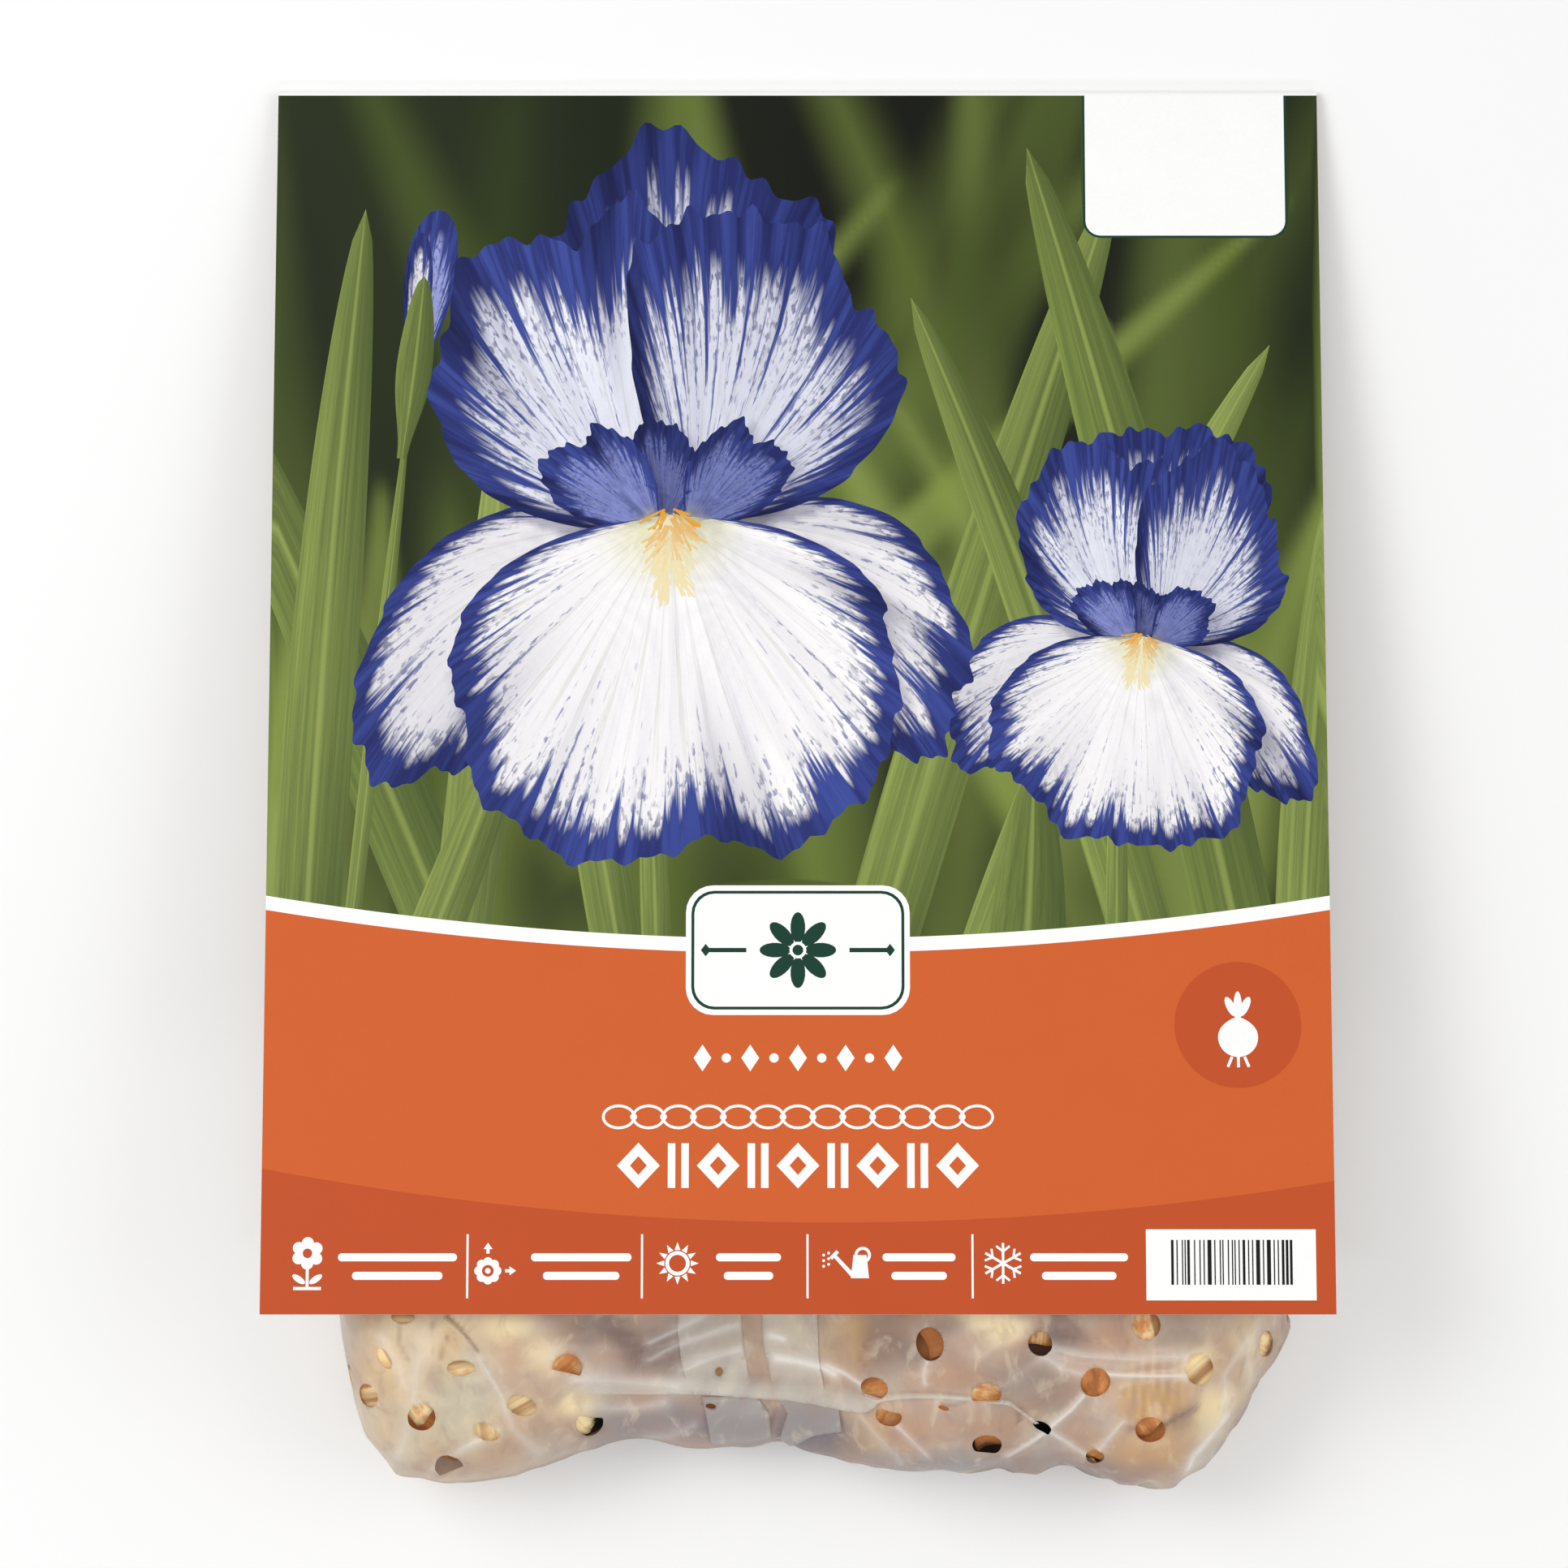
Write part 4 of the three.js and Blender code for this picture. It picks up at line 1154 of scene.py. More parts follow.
def ink_desk(name, roughness=0.46):
    desk = Finish(name, Roughness=roughness, Specular_IOR_Level=0.16)
    return desk, desk.attribute("ink")


def flat_ink():
    desk, ink = ink_desk("Flat ink")
    return press_finish(desk, ink["Color"])


def foliage_ink():
    """Out-of-focus greenery, with the soft drift of light that lies over it."""
    desk, ink = ink_desk("Foliage ink")
    drift = desk.noise(desk.scaled(desk.place(), (1.0, 0.45, 1.0)), 70.0, 2.0, 0.5, Distortion=0.5)
    lit = desk.mix(desk.ramp(drift, 0.35, 0.7, 0.0, 0.3), ink["Color"], rgba(LEAF_LIGHT), "SOFT_LIGHT")
    return press_finish(desk, lit)


def petal_ink(blue, deep):
    """A white petal whose margin is stitched in blue, with fine veins that run out to it."""
    desk, ink = ink_desk("Petal ink", 0.44)
    turn, share, margin = desk.add("ShaderNodeSeparateXYZ", {0: desk.attribute("flow")["Vector"]}).outputs

    def drawn_out(around, along, detail, roughness=0.5):
        place = desk.joined(desk.times(turn, around), desk.times(share, along))
        return desk.noise(place, 1.0, detail, roughness)

    streaks = drawn_out(30.0, 1.6, 3.0, 0.6)
    veins = drawn_out(62.0, 2.4, 3.0, 0.65)
    dots = drawn_out(60.0, 26.0, 2.0)
    ragged = desk.times(margin, desk.ramp(streaks, 0.32, 0.68, 0.45, 2.1))
    stitched = desk.ramp(ragged, 0.35, 0.8, 1.0, 0.0)
    peppered = desk.times(desk.ramp(ragged, 0.6, 1.5, 0.75, 0.0), desk.ramp(dots, 0.5, 0.6))
    wander = desk.math("MULTIPLY_ADD", veins, 5.0, desk.times(turn, 52.0))
    ribs = desk.times(desk.ramp(desk.math("SINE", wander), 0.86, 1.0, 0.0, 0.3), desk.ramp(share, 0.85, 0.5))
    ribbed = desk.mix(ribs, ink["Color"], rgba(srgb(188, 184, 168)))
    tinted = desk.mix(desk.ramp(veins, 0.5, 0.78, 0.0, 0.16), ribbed, rgba(blue))
    warm = desk.mix(desk.ramp(share, 0.26, 0.06, 0.0, 0.55), tinted, rgba(srgb(206, 200, 120)))
    dyed = desk.mix(desk.ramp(streaks, 0.35, 0.62), rgba(blue), rgba(deep))
    petal = desk.mix(desk.math("MAXIMUM", stitched, peppered), warm, dyed)
    shade = ink["Alpha"]
    cool = desk.joined(shade, shade, desk.math("POWER", shade, 0.82))
    return press_finish(desk, desk.mix(1.0, petal, cool, "MULTIPLY"))


def blade_ink():
    """A sharp sword leaf, with parallel veins and a pale midrib."""
    desk, ink = ink_desk("Blade ink", 0.44)
    across, along, identity = desk.add("ShaderNodeSeparateXYZ", {0: desk.attribute("flow")["Vector"]}).outputs
    place = desk.joined(desk.math("MULTIPLY_ADD", across, 7.0, identity), desk.times(along, 2.2))
    veins = desk.noise(place, 1.0, 4.0, 0.7)
    veined = desk.mix(desk.ramp(veins, 0.3, 0.75, 0.55, 0.0), ink["Color"], rgba(LEAF_SHADE))
    midrib = desk.ramp(desk.math("ABSOLUTE", across), 0.14, 0.02, 0.0, 0.4)
    return press_finish(desk, desk.mix(midrib, veined, rgba(LEAF_LIGHT)))


def raw_board():
    """The unprinted grey-cream side and the cut edges of the board."""
    desk = Finish("Raw board", Roughness=0.8, Specular_IOR_Level=0.3)
    place = desk.place()
    drawn_out = desk.scaled(place, (1.0, 0.35, 1.0))
    fibres = desk.placed(shared(fine_grain), Vector=drawn_out, Scale=1100.0, Depth=0.25)
    flecks = desk.ramp(desk.noise(place, 2600.0, 1.0), 0.66, 0.75, 0.0, 0.4)
    pulp = desk.mix(flecks, rgba(srgb(214, 204, 186)), rgba(srgb(150, 132, 108)))
    mottled = desk.mix(1.0, pulp, fibres["Mottle"], "MULTIPLY")
    return desk.feed(Base_Color=mottled, Normal=desk.bumped(fibres["Height"], 0.00008, 0.8))


# ---- film

# Folds of the slack film below the card, in plan: (points, height, half width, whiteness). The whiteness
# is partly the fold's own and partly a painted highlight along it.
FOLDS = (
    (((60.5, -12.4), (66, -12.9), (78.0, -12.7)), 0.35, 0.5, 0.9),
    (((49.5, -8.6), (53, -11.4), (57.5, -12.6)), 0.3, 1.1, 0.45),
    (((50, -6.6), (58, -8.6), (68, -9.2), (78, -8.8)), 0.3, 1.0, 0.5),
    (((57.6, -17), (55.2, -20.0), (50.6, -24.4)), 0.45, 0.5, 0.9),
    (((50.4, -24.6), (47, -27.2), (42.6, -30.2)), 0.35, 0.4, 0.8),
    (((50.6, -24.6), (54.5, -27.4), (59, -30.6)), 0.4, 0.5, 0.8),
    (((65.5, -22.5), (62.5, -26.5), (60.4, -29.8)), 0.35, 0.6, 0.6),
    (((86.9, -21.5), (83.9, -25.5), (80.0, -30), (79.2, -33)), 0.45, 0.7, 0.85),
    (((90.5, -6), (86.0, -13), (86.5, -20)), 0.3, 0.7, 0.45),
    (((93, -3), (90.6, -9), (92.4, -15)), 0.25, 0.9, 0.35),
    (((-4.5, -10.4), (0, -10.9), (4.6, -11.9), (7.2, -13.2)), 0.35, 0.8, 1.0),
    (((5.8, -11.5), (9.4, -13.0), (12.8, -15.2)), 0.25, 0.45, 0.8),
    (((-5.6, -5.6), (-3.0, -6.2)), 0.2, 0.6, 0.9),
    (((19.6, -23.2), (22.5, -26.2), (26.2, -30.0)), 0.3, 0.5, 0.55),
    (((12.5, -21.5), (16.5, -26.5), (21, -31.5)), 0.3, 0.7, 0.35),
    (((25.9, -9.8), (25.2, -12), (25.4, -14.4)), 0.25, 0.5, 0.6),
    (((-70.3, -1.7), (-66.1, -5.4), (-63.6, -9.5)), 0.5, 0.7, 0.12),
    (((-63.6, -9.5), (-59.5, -17.5), (-57.4, -24.2), (-52.8, -29.2)), 0.5, 1.0, 0.45),
    (((-81.1, -31), (-78.6, -24.2), (-77.4, -17.5), (-76.1, -8.4)), 0.45, 1.3, 0.35),
    (((-74.1, -33), (-67.8, -28.4), (-60.3, -24.6)), 0.4, 0.8, 0.5),
    (((-84, -5), (-80.5, -10), (-79, -15)), 0.3, 0.9, 0.3),
    (((-44.5, -14.0), (-36, -14.6), (-29.9, -15.2), (-24, -15.8)), 0.35, 1.5, 0.55),
    (((-42, -20.2), (-34, -20.6), (-27, -19.8)), 0.25, 1.0, 0.4),
    (((-30, -6.7), (-24.8, -4.2), (-19.3, -1.3)), 0.25, 0.7, 0.6),
    (((-30, -10.2), (-24.6, -7.4), (-12, -3.4)), 0.25, 0.8, 0.45),
    (((-23.5, -12.6), (-17, -10.0), (-11.5, -8.8)), 0.2, 0.8, 0.45),
    (((-21, -24.6), (-26, -27), (-31, -27.6)), 0.2, 0.8, 0.3),
)
# What shows through the film, as soft patches: x, y, half width, half height, turn, tint and strength.
# Patches of the mauve and grey tints are painted shade of the slack film and of hollows under it.
CREAM, GOLD, ROSE, MAUVE_SHADE, GREY_SHADE, PALE, GREEN, BROWN, MILKY, SLATE_SHADE = range(10)
TINTS = np.array((
    srgb(255, 238, 194), srgb(228, 184, 116), srgb(202, 166, 140), srgb(110, 86, 82), srgb(132, 126, 136),
    srgb(208, 198, 184), srgb(204, 196, 172), srgb(132, 94, 66), srgb(200, 195, 182), srgb(170, 164, 162),
))
PATCHES = (
    (-74, -16, 19, 24, 0, CREAM, 0.45), (-68, -18, 10, 9, 20, GREEN, 0.75),
    (-69.5, -5.0, 4.5, 5, -30, GOLD, 0.5), (-80.5, -12.0, 3.5, 6, 10, GOLD, 0.2),
    (-58.7, -2.5, 5, 3.2, -10, CREAM, 0.9), (-51.5, -9.4, 4, 4, 0, CREAM, 0.9),
    (-54, -13, 7, 6, -30, ROSE, 0.45), (-44.8, -19.6, 4.5, 3.6, 0, CREAM, 0.9),
    (-66, -31.5, 9, 4, 8, ROSE, 0.6), (-38, -4.5, 10, 4.5, -12, MAUVE_SHADE, 0.75),
    (-29, -8.5, 9, 6, 15, MAUVE_SHADE, 0.8), (-40, -10.0, 4, 2.4, 0, ROSE, 0.5),
    (-30, -24.5, 16, 5.5, 6, GREY_SHADE, 0.7), (-14, -24, 9, 6, 0, GREY_SHADE, 0.85), (4, -26.5, 11, 6, -12, GREY_SHADE, 1.0),
    (-17.5, -6, 7, 8, 0, MAUVE_SHADE, 0.3), (-9, -6, 2.4, 14, 0, BROWN, 0.12), (-1.5, -4, 5.5, 6, 0, CREAM, 0.35),
    (10.5, -4.5, 5, 6, -12, GOLD, 0.6), (19, -7, 9, 6, -10, MAUVE_SHADE, 0.6),
    (14.5, -26.0, 6, 6, -30, GOLD, 0.35), (30, -13.5, 9, 3.5, 0, ROSE, 0.9),
    (40.5, -2.2, 7.5, 3.8, -8, CREAM, 1.0), (36.5, -1.0, 5, 2.4, 0, CREAM, 0.8),
    (29.5, -3.2, 4, 2.2, 0, MAUVE_SHADE, 0.5), (52, -4.2, 7, 3.6, -10, MAUVE_SHADE, 0.8),
    (46, -14.0, 11, 5.5, -8, MAUVE_SHADE, 0.5), (31, -24, 9, 4, 0, ROSE, 0.6), (34, -32, 22, 3.4, 2, GREY_SHADE, 0.6),
    (64.5, -6.5, 4, 7, -38, ROSE, 0.85), (77, -4.5, 6, 4, 0, MAUVE_SHADE, 0.4), (71.5, -18, 8, 9, 0, GOLD, 0.7),
    (86, -18.5, 8.5, 3.8, 48, CREAM, 1.0), (80.5, -8.5, 5, 5, 0, CREAM, 0.5),
    (77, -22, 4, 2.5, 30, MAUVE_SHADE, 0.5), (88, -10, 5, 8, -8, ROSE, 0.6), (91, -6, 4, 6, 0, CREAM, 0.55),
    (71, -29.5, 8, 4, 0, GOLD, 0.4), (60, -34, 14, 2.6, 0, GREY_SHADE, 0.5),
)
# Painted shade: fine dark lines along folds and ply edges under the film, in plan: points, half width,
# tint and strength.
SHADE_LINES = (
    (((-70.5, -0.5), (-67.3, -3.4), (-64.2, -7.6)), 0.35, BROWN, 0.8),
    (((-80.1, -1.6), (-79.8, -6.4), (-78.0, -9.5)), 0.4, BROWN, 0.35),
    (((-70.3, -4.6), (-71.6, -8.8)), 0.5, BROWN, 0.4), (((-73.1, -1.6), (-73.7, -4.0)), 0.4, BROWN, 0.35),
    (((-81.4, -31.4), (-74, -34.2), (-67, -34.6)), 0.4, BROWN, 0.3),
    (((67.3, -23.9), (74.4, -22.6), (80.3, -19.4)), 0.7, MAUVE_SHADE, 0.6),
    (((63.0, -7.2), (64.4, -9.8), (66.2, -6.0)), 0.4, BROWN, 0.25),
    (((88.6, -3.4), (90.6, -8.0), (89.2, -14.0)), 0.5, BROWN, 0.25),
    (((13.9, -5.4), (12.5, -10.0), (14.9, -13.4)), 0.4, BROWN, 0.3),
    (((28.4, -18.6), (31.0, -18.8), (33.6, -18.0)), 0.3, BROWN, 0.5),
    (((44.2, -19.6), (44.8, -21.2), (44.7, -22.6)), 0.3, BROWN, 0.6),
    (((-5.0, -22.4), (-4.4, -25.6), (-3.4, -28.4)), 0.45, MAUVE_SHADE, 0.45),
)
# Where the bed falls away under the film: x, y, reach and depth.
HOLLOWS = (
    (-39.2, -24.3, 2.4, 9.0), (49.6, -23.8, 3.0, 8.0), (38.2, -28.8, 2.6, 6.0), (-71.5, -32.5, 3.0, 4.0),
)
# Plies that lie on the film: outline in plan, how far each whitens it, its tint and its share of that
# tint. The slate tint of the two lower plies is painted shade.
PLIES = (
    (((-24.7, 4), (-24.4, -4), (-23.7, -10.6), (-22.3, -17.4), (-10.2, -18.3), (-8.9, -17.7), (-10.1, -13.1),
      (-11.1, -7.1), (-11.7, 4)), 0.14, MILKY, 0.5),
    (((-7.6, 4), (-7.1, -7), (-5.8, -13.1), (-4.4, -18.4), (-0.9, -19.2), (5.9, -19.7), (5.0, -14),
      (4.3, -9.9), (3.9, 4)), 0.18, MILKY, 0.5),
    (((-19.6, -18.2), (-18.6, -23), (-17.7, -28.6), (-5.4, -27.2), (-5.8, -21.9), (-8.4, -18.5)),
     0.05, SLATE_SHADE, 0.75),
    (((-4.2, -18.6), (-1.9, -21.9), (-3.6, -27.4), (-1.0, -28.8), (3.4, -26.4), (9.2, -25.2), (8.6, -20.2)),
     0.03, SLATE_SHADE, 0.85),
)
# How far the film's edge stands out of the smooth form, in plan: x, y, the two pushes and their reach.
PUSHES = (
    (-90.7, -17, 0.25, 0.1, 2.4), (-88, -25.5, -0.5, -0.2, 3.0), (-81, -34.3, -0.9, -1.1, 3.0),
    (-59, -36, 0.1, -0.5, 4.0), (-42, -30, 0.2, -0.4, 3.0), (-24, -29.3, 0.0, -0.8, 6.0),
    (-9, -29.2, 0.0, -1.2, 4.5), (2, -30, -0.3, -0.9, 4.0), (13.5, -34, 0.0, 0.5, 2.5),
    (41, -34, 0.0, 0.6, 2.2), (49.5, -32.3, 0.1, -2.6, 4.2), (66, -36.8, -0.2, -0.8, 2.6),
    (71.5, -39, 0.0, 0.9, 2.2), (80.5, -36.5, -0.8, 0.8, 2.4), (87, -28.5, 0.6, -0.6, 2.6),
    (97.3, -10.5, 1.3, -0.4, 3.4), (99.5, -6, 1.5, -0.4, 3.0),
)
# The fold that doubles the film across the bag: its crisp lower edge, in plan, and its width by x.
TUCK = (
    (-48, -15.2), (-43, -16.6), (-36, -17.0), (-22, -17.4), (-11.5, -18.5), (-0.5, -19.3), (7.6, -20.3),
    (13.5, -20.6), (15.8, -19.4), (17.6, -18.0), (25.6, -17.2), (31.9, -17.4), (37.4, -17.8), (42.4, -18.6),
    (44.5, -20.2), (50.5, -24.8),
)
TUCK_WIDTHS = ((-48, 2.5), (-40, 4.5), (8, 6.5), (14, 5.0), (18, 1.4), (40, 1.2), (50.5, 0.7))


def from_line(x, y, line):
    """Distance of places from a line of points."""
    nearest = np.full(np.shape(x), np.inf)
    for (ax, ay), (bx, by) in zip(line, line[1:]):
        dx, dy = bx - ax, by - ay
        share = np.clip(((x - ax) * dx + (y - ay) * dy) / (dx * dx + dy * dy), 0, 1)
        nearest = np.minimum(nearest, np.hypot(x - ax - share * dx, y - ay - share * dy))
    return nearest


def drifts(points, size):
    """Smooth noise in X and Y."""
    return stacked(lumps(points, size), lumps(points, size, (19, 7, 3)))


def crumple(x, y, depth):
    """How far the slack film stands out of its smooth shape at places in plan."""
    points = stacked(x, y, 0.0)
    facets = [noise.voronoi(Vector(p / 17 + (3, 1, 2)), distance_metric="DISTANCE")[0][0] for p in points]
    height = 0.75 * (lumps(points, 15) + 0.3 * lumps(points, 6)) - 0.35 * (np.array(facets) - 0.45)
    for line, rise, half_width, _ in FOLDS:
        height += rise * np.exp(-from_line(x, y, line) / half_width) * 1.3
    return depth * height * (1 - smoothstep(y, -2.5, 4))


def fold_white_and_highlight(x, y):
    """How far the folds whiten the film at places in plan: partly their own whiteness, partly painted
    highlight.
    """
    clear = np.ones_like(x)
    for line, _, half_width, white in FOLDS:
        clear *= 1 - white * np.exp(-((from_line(x, y, line) / (half_width * 1.2)) ** 1.3))
    return 1 - clear


def film_tint(x, y):
    """The colour that the film takes from what lies under it, at places in plan, with painted shade from
    the mauve and grey patches and the dark lines.
    """
    points = stacked(x, y, 0.0)
    bent = drifts(points, 7) * 2.4
    rosy = np.clip(0.4 + 0.7 * lumps(points, 9, (0, 0, 5)), 0, 1)
    tint = lerp(TINTS[ROSE], TINTS[PALE], rosy[:, None])
    # Patches in the mauve and grey tints are painted shade.
    for px, py, wide, high, turn, kind, strength in PATCHES:
        local = turned(stacked(x - px, y - py) + bent, -math.radians(turn)) / (wide, high)
        share = strength * np.exp(-((local**2).sum(1) ** 1.4))
        tint = lerp(tint, TINTS[kind], share[:, None])
    # Painted shade along the edges of folds and plies.
    for line, half_width, kind, strength in SHADE_LINES:
        share = strength * bump(from_line(x, y, line), 0, half_width)
        tint = lerp(tint, TINTS[kind], share[:, None])
    stripes = 0.5 + 0.5 * np.sin(x * 2.9 + 1.5 * np.sin(y / 5))
    striped = np.exp(-(((x - 71) / 5.5) ** 4) - ((y + 16) / 7) ** 4) * stripes
    return lerp(tint, TINTS[BROWN] * 1.2, 0.45 * striped[:, None])


def tuck_width(x):
    return np.interp(x, *zip(*TUCK_WIDTHS))


def tuck_band():
    """Outline of the doubled film above the tuck."""
    low = smooth_line(TUCK, 130)
    return np.concatenate([low, (low + stacked(0, tuck_width(low[:, 0])))[::-1]])


def tuck_share(x, y):
    """How strongly the doubled film shows: wholly at its crisp edge, not at all at its soft one."""
    across = from_line(x, y, TUCK) / tuck_width(x)
    along = smoothstep(x, -47, -38) * lerp(0.6, 1.0, smoothstep(x, -30, -22))
    return (1 - smoothstep(across, 0.15, 0.9)) * along


def film_skin(across, down, side):
    """Points of the bag's smooth skin, for places on the film as it lies flat."""
    s, t = np.clip(across, -BAG.edge, BAG.edge) / BAG.edge, np.clip(down, 0, BAG.length) / BAG.length
    return bag_point(s, t, side)


def to_rim(flat):
    """How far places on the flat film are from its edge."""
    return np.minimum(BAG.edge - abs(flat[:, 0]), BAG.length - flat[:, 1])


def film_points(flat, side, depth, lift=0.0):
    """Points of the creased film from places on it: across from its middle, down from its mouth."""
    across, down = flat.T
    step = 0.35
    base = film_skin(across, down, side)
    over = film_skin(across + step, down, side) - film_skin(across - step, down, side)
    along = film_skin(across, down + step, side) - film_skin(across, down - step, side)
    outward = np.cross(along, over) * side
    outward /= np.maximum(np.linalg.norm(outward, axis=1, keepdims=True), 1e-9)
    raised = np.full(len(base), float(lift))
    if side > 0:
        raised += crumple(base[:, 0], base[:, 1], depth) * smoothstep(to_rim(flat), 0.3, 5)
    shore = np.pad(drifts(base, 8) + 0.35 * drifts(base, 3.5), ((0, 0), (0, 1)))
    uneven = lerp(0.5, 1.7, smoothstep(base[:, 0], 10, 45)) * depth
    shore *= (uneven * np.exp(-np.maximum(BAG.length - down, 0) / 4))[:, None]
    for x, y, aside, along_y, reach in PUSHES:
        near = depth * np.exp(-(((base[:, 0] - x) ** 2 + (base[:, 1] - y) ** 2) / reach**2))
        shore += near[:, None] * (aside, along_y, 0)
    return base + outward * raised[:, None] + shore


def plan_to_flat(line):
    """Places on the flat film from places in plan."""
    s, t = bag_place(*np.array(line, float).T)
    return stacked(s * BAG.edge, t * BAG.length)


def vent_outline(place, side):
    """A round vent, as places on the flat film, worked out from how the film slopes there."""
    a, d = plan_to_flat([place])[0]
    half, count = 0.5, 22
    over = (film_skin(a + half, d, side) - film_skin(a - half, d, side)).reshape(3)
    along = (film_skin(a, d + half, side) - film_skin(a, d - half, side)).reshape(3)
    first = unit(over)
    second = unit(along - along.dot(first) * first)
    slopes = np.array([[way.dot(over), way.dot(along)] for way in (first, second)])
    return circle(0, 0, VENT.radius, count) @ np.linalg.inv(slopes).T + (a, d)


def vent_rows(rows, side):
    """Vents in staggered rows, with none on the lapped seam."""
    made = []
    for n, y in enumerate(rows):
        x = (n % 2 / 2 - 4) * VENT.pitch
        while x <= VENT.widest:
            if abs(x - LAP.x) >= LAP.width / 2 + VENT.radius:
                made.append(vent_outline((x, y), side))
            x += VENT.pitch
    return made


def shown_vents():
    """The vents below the card, as places on the flat film, each cut where a fold hides part of it."""
    made = []
    for x, y, half_width, half_height, turn, cut_at, _ in SHOWN_VENTS:
        ring = circle(0, 0, 1, 28)
        if cut_at:
            ring[:, 1] = np.maximum(ring[:, 1], cut_at) if cut_at < 0 else np.minimum(ring[:, 1], cut_at)
        made.append(plan_to_flat(turned(ring * (half_width, half_height), math.radians(turn)) + (x, y)))
    return made


def film_patch(outline, vents, spots):
    """Cuts a patch of flat film along its outline and its vents. Gives its places and triangles."""
    points, faces = [], []
    for line in (outline, *vents):
        add_outline(points, faces, line)
    flat, triangles, lies_in = cut(points + [Vector(p) for p in spots], faces)
    used, corners = np.unique(triangles[[set(ids) == {0} for ids in lies_in]], return_inverse=True)
    return flat[used], corners.reshape(-1, 3)


def round_off(radius, count=11):
    """Steps from an edge that crowd where the film bends round it."""
    return radius * (1 - np.cos(np.linspace(0, math.pi / 2, count)))[1:]


def film_outline(spacing):
    """The whole sheet's edge, with its points close together where the film is seen."""
    low, foot_ends = BAG.length - SEEN, -BAG.edge + round_off(BAG.side_round)[:4]
    sides = np.concatenate([np.arange(0, low, 9), np.arange(low, BAG.length - 0.2, spacing * 1.3)])
    foot_steps = np.arange(foot_ends[-1] + spacing, -foot_ends[-1], spacing * 1.2)
    foot = np.concatenate([[-BAG.edge], foot_ends, foot_steps, -foot_ends[::-1], [BAG.edge]])
    left, right = stacked(-BAG.edge, sides), stacked(BAG.edge, sides[::-1])
    return np.concatenate([left, stacked(foot, BAG.length), right, stacked(np.arange(90, -95, -10), 0)])


def film_spots(spacing, fine):
    """Places inside the sheet: rows and columns that crowd at its rounded edges."""
    rounds, end_rounds = round_off(BAG.side_round), BAG.length - round_off(BAG.end_round)
    low = BAG.length - SEEN

    def columns(edge_steps, steps):
        return np.concatenate([-BAG.edge + edge_steps, steps, BAG.edge - edge_steps])

    coarse_x = columns(rounds, np.arange(-70, 71, 7))
    if fine:
        fine_x = columns(rounds[:4], np.arange(-92, 92.1, spacing))
        fine_y = np.concatenate([np.arange(low, end_rounds[3] - 0.4, spacing), end_rounds[:4]])
    else:
        rows = np.arange(low, BAG.length - BAG.end_round, 5)
        fine_x, fine_y = coarse_x, np.concatenate([rows, end_rounds])
    grids = ((coarse_x, np.arange(9, low - 2, 7)), (fine_x, fine_y))
    return np.concatenate([stacked(*np.meshgrid(x, y, indexing="ij")).reshape(-1, 2) for x, y in grids])


def fold_spots(step=0.55):
    """Places along the folds, and at both sides of each, so that they bend the film crisply."""
    made = []
    for line, _, half_width, _ in FOLDS:
        line = np.array(line, float)
        fine = smooth_line(line, max(4, round(along_line(line)[-1] / step)))
        over = unit(np.gradient(fine, axis=0)[:, ::-1] * (-1, 1))
        made += [fine + over * half_width * away for away in (-1.3, -0.6, 0, 0.6, 1.3)]
    flat = plan_to_flat(np.concatenate(made))
    return flat[(abs(flat[:, 0]) < BAG.edge - 1) & (flat[:, 1] < BAG.length - 1)]


def dense_line(line, step):
    """A closed line with points no further apart than step."""
    made = []
    for a, b in zip(np.array(line, float), np.array([*line[1:], line[0]], float)):
        count = max(1, math.ceil(np.linalg.norm(b - a) / step))
        made += [lerp(a, b, n / count) for n in range(count)]
    return np.array(made)


class Sheets:
    """Collects patches of film, with the tint and whiteness of each point and how strongly it shows. The
    whiteness of folds is partly a painted highlight.
    """

    def __init__(self, depth):
        self.depth, self.points, self.faces, self.inks, self.shares = depth, [], [], [], []

    def add(self, patch, side, lift=0.0, ply=0.0, share=None, tinted=(ROSE, 0.0)):
        flat, triangles = patch
        made = film_points(flat, side, self.depth, lift)
        x, y, _ = made.T
        # Whiteness of the folds, partly painted highlight, on the front only, with the ply's own whiteness.
        white = 1 - (1 - fold_white_and_highlight(x, y) * (side > 0)) * (1 - ply)
        # Painted shade: the tint darkens to 0.74 of itself within about 1.6 mm of the film's edge, along its
        # rim.
        tint = film_tint(x, y) * lerp(0.74, 1.0, smoothstep(to_rim(flat), -0.2, 1.6))[:, None]
        tint = lerp(tint, TINTS[tinted[0]], tinted[1])
        self.faces += (triangles[:, ::-side] + sum(map(len, self.points))).tolist()
        self.points.append(made)
        self.inks.append(stacked(*tint.T, white))
        self.shares.append(share(x, y) if share else np.ones(len(made)))

    def piece(self, name, material):
        made = new_piece(name, np.concatenate(self.points), self.faces, [material])
        keep(made, "tint", np.concatenate(self.inks))
        keep(made, "ply", np.concatenate(self.shares))
        return made


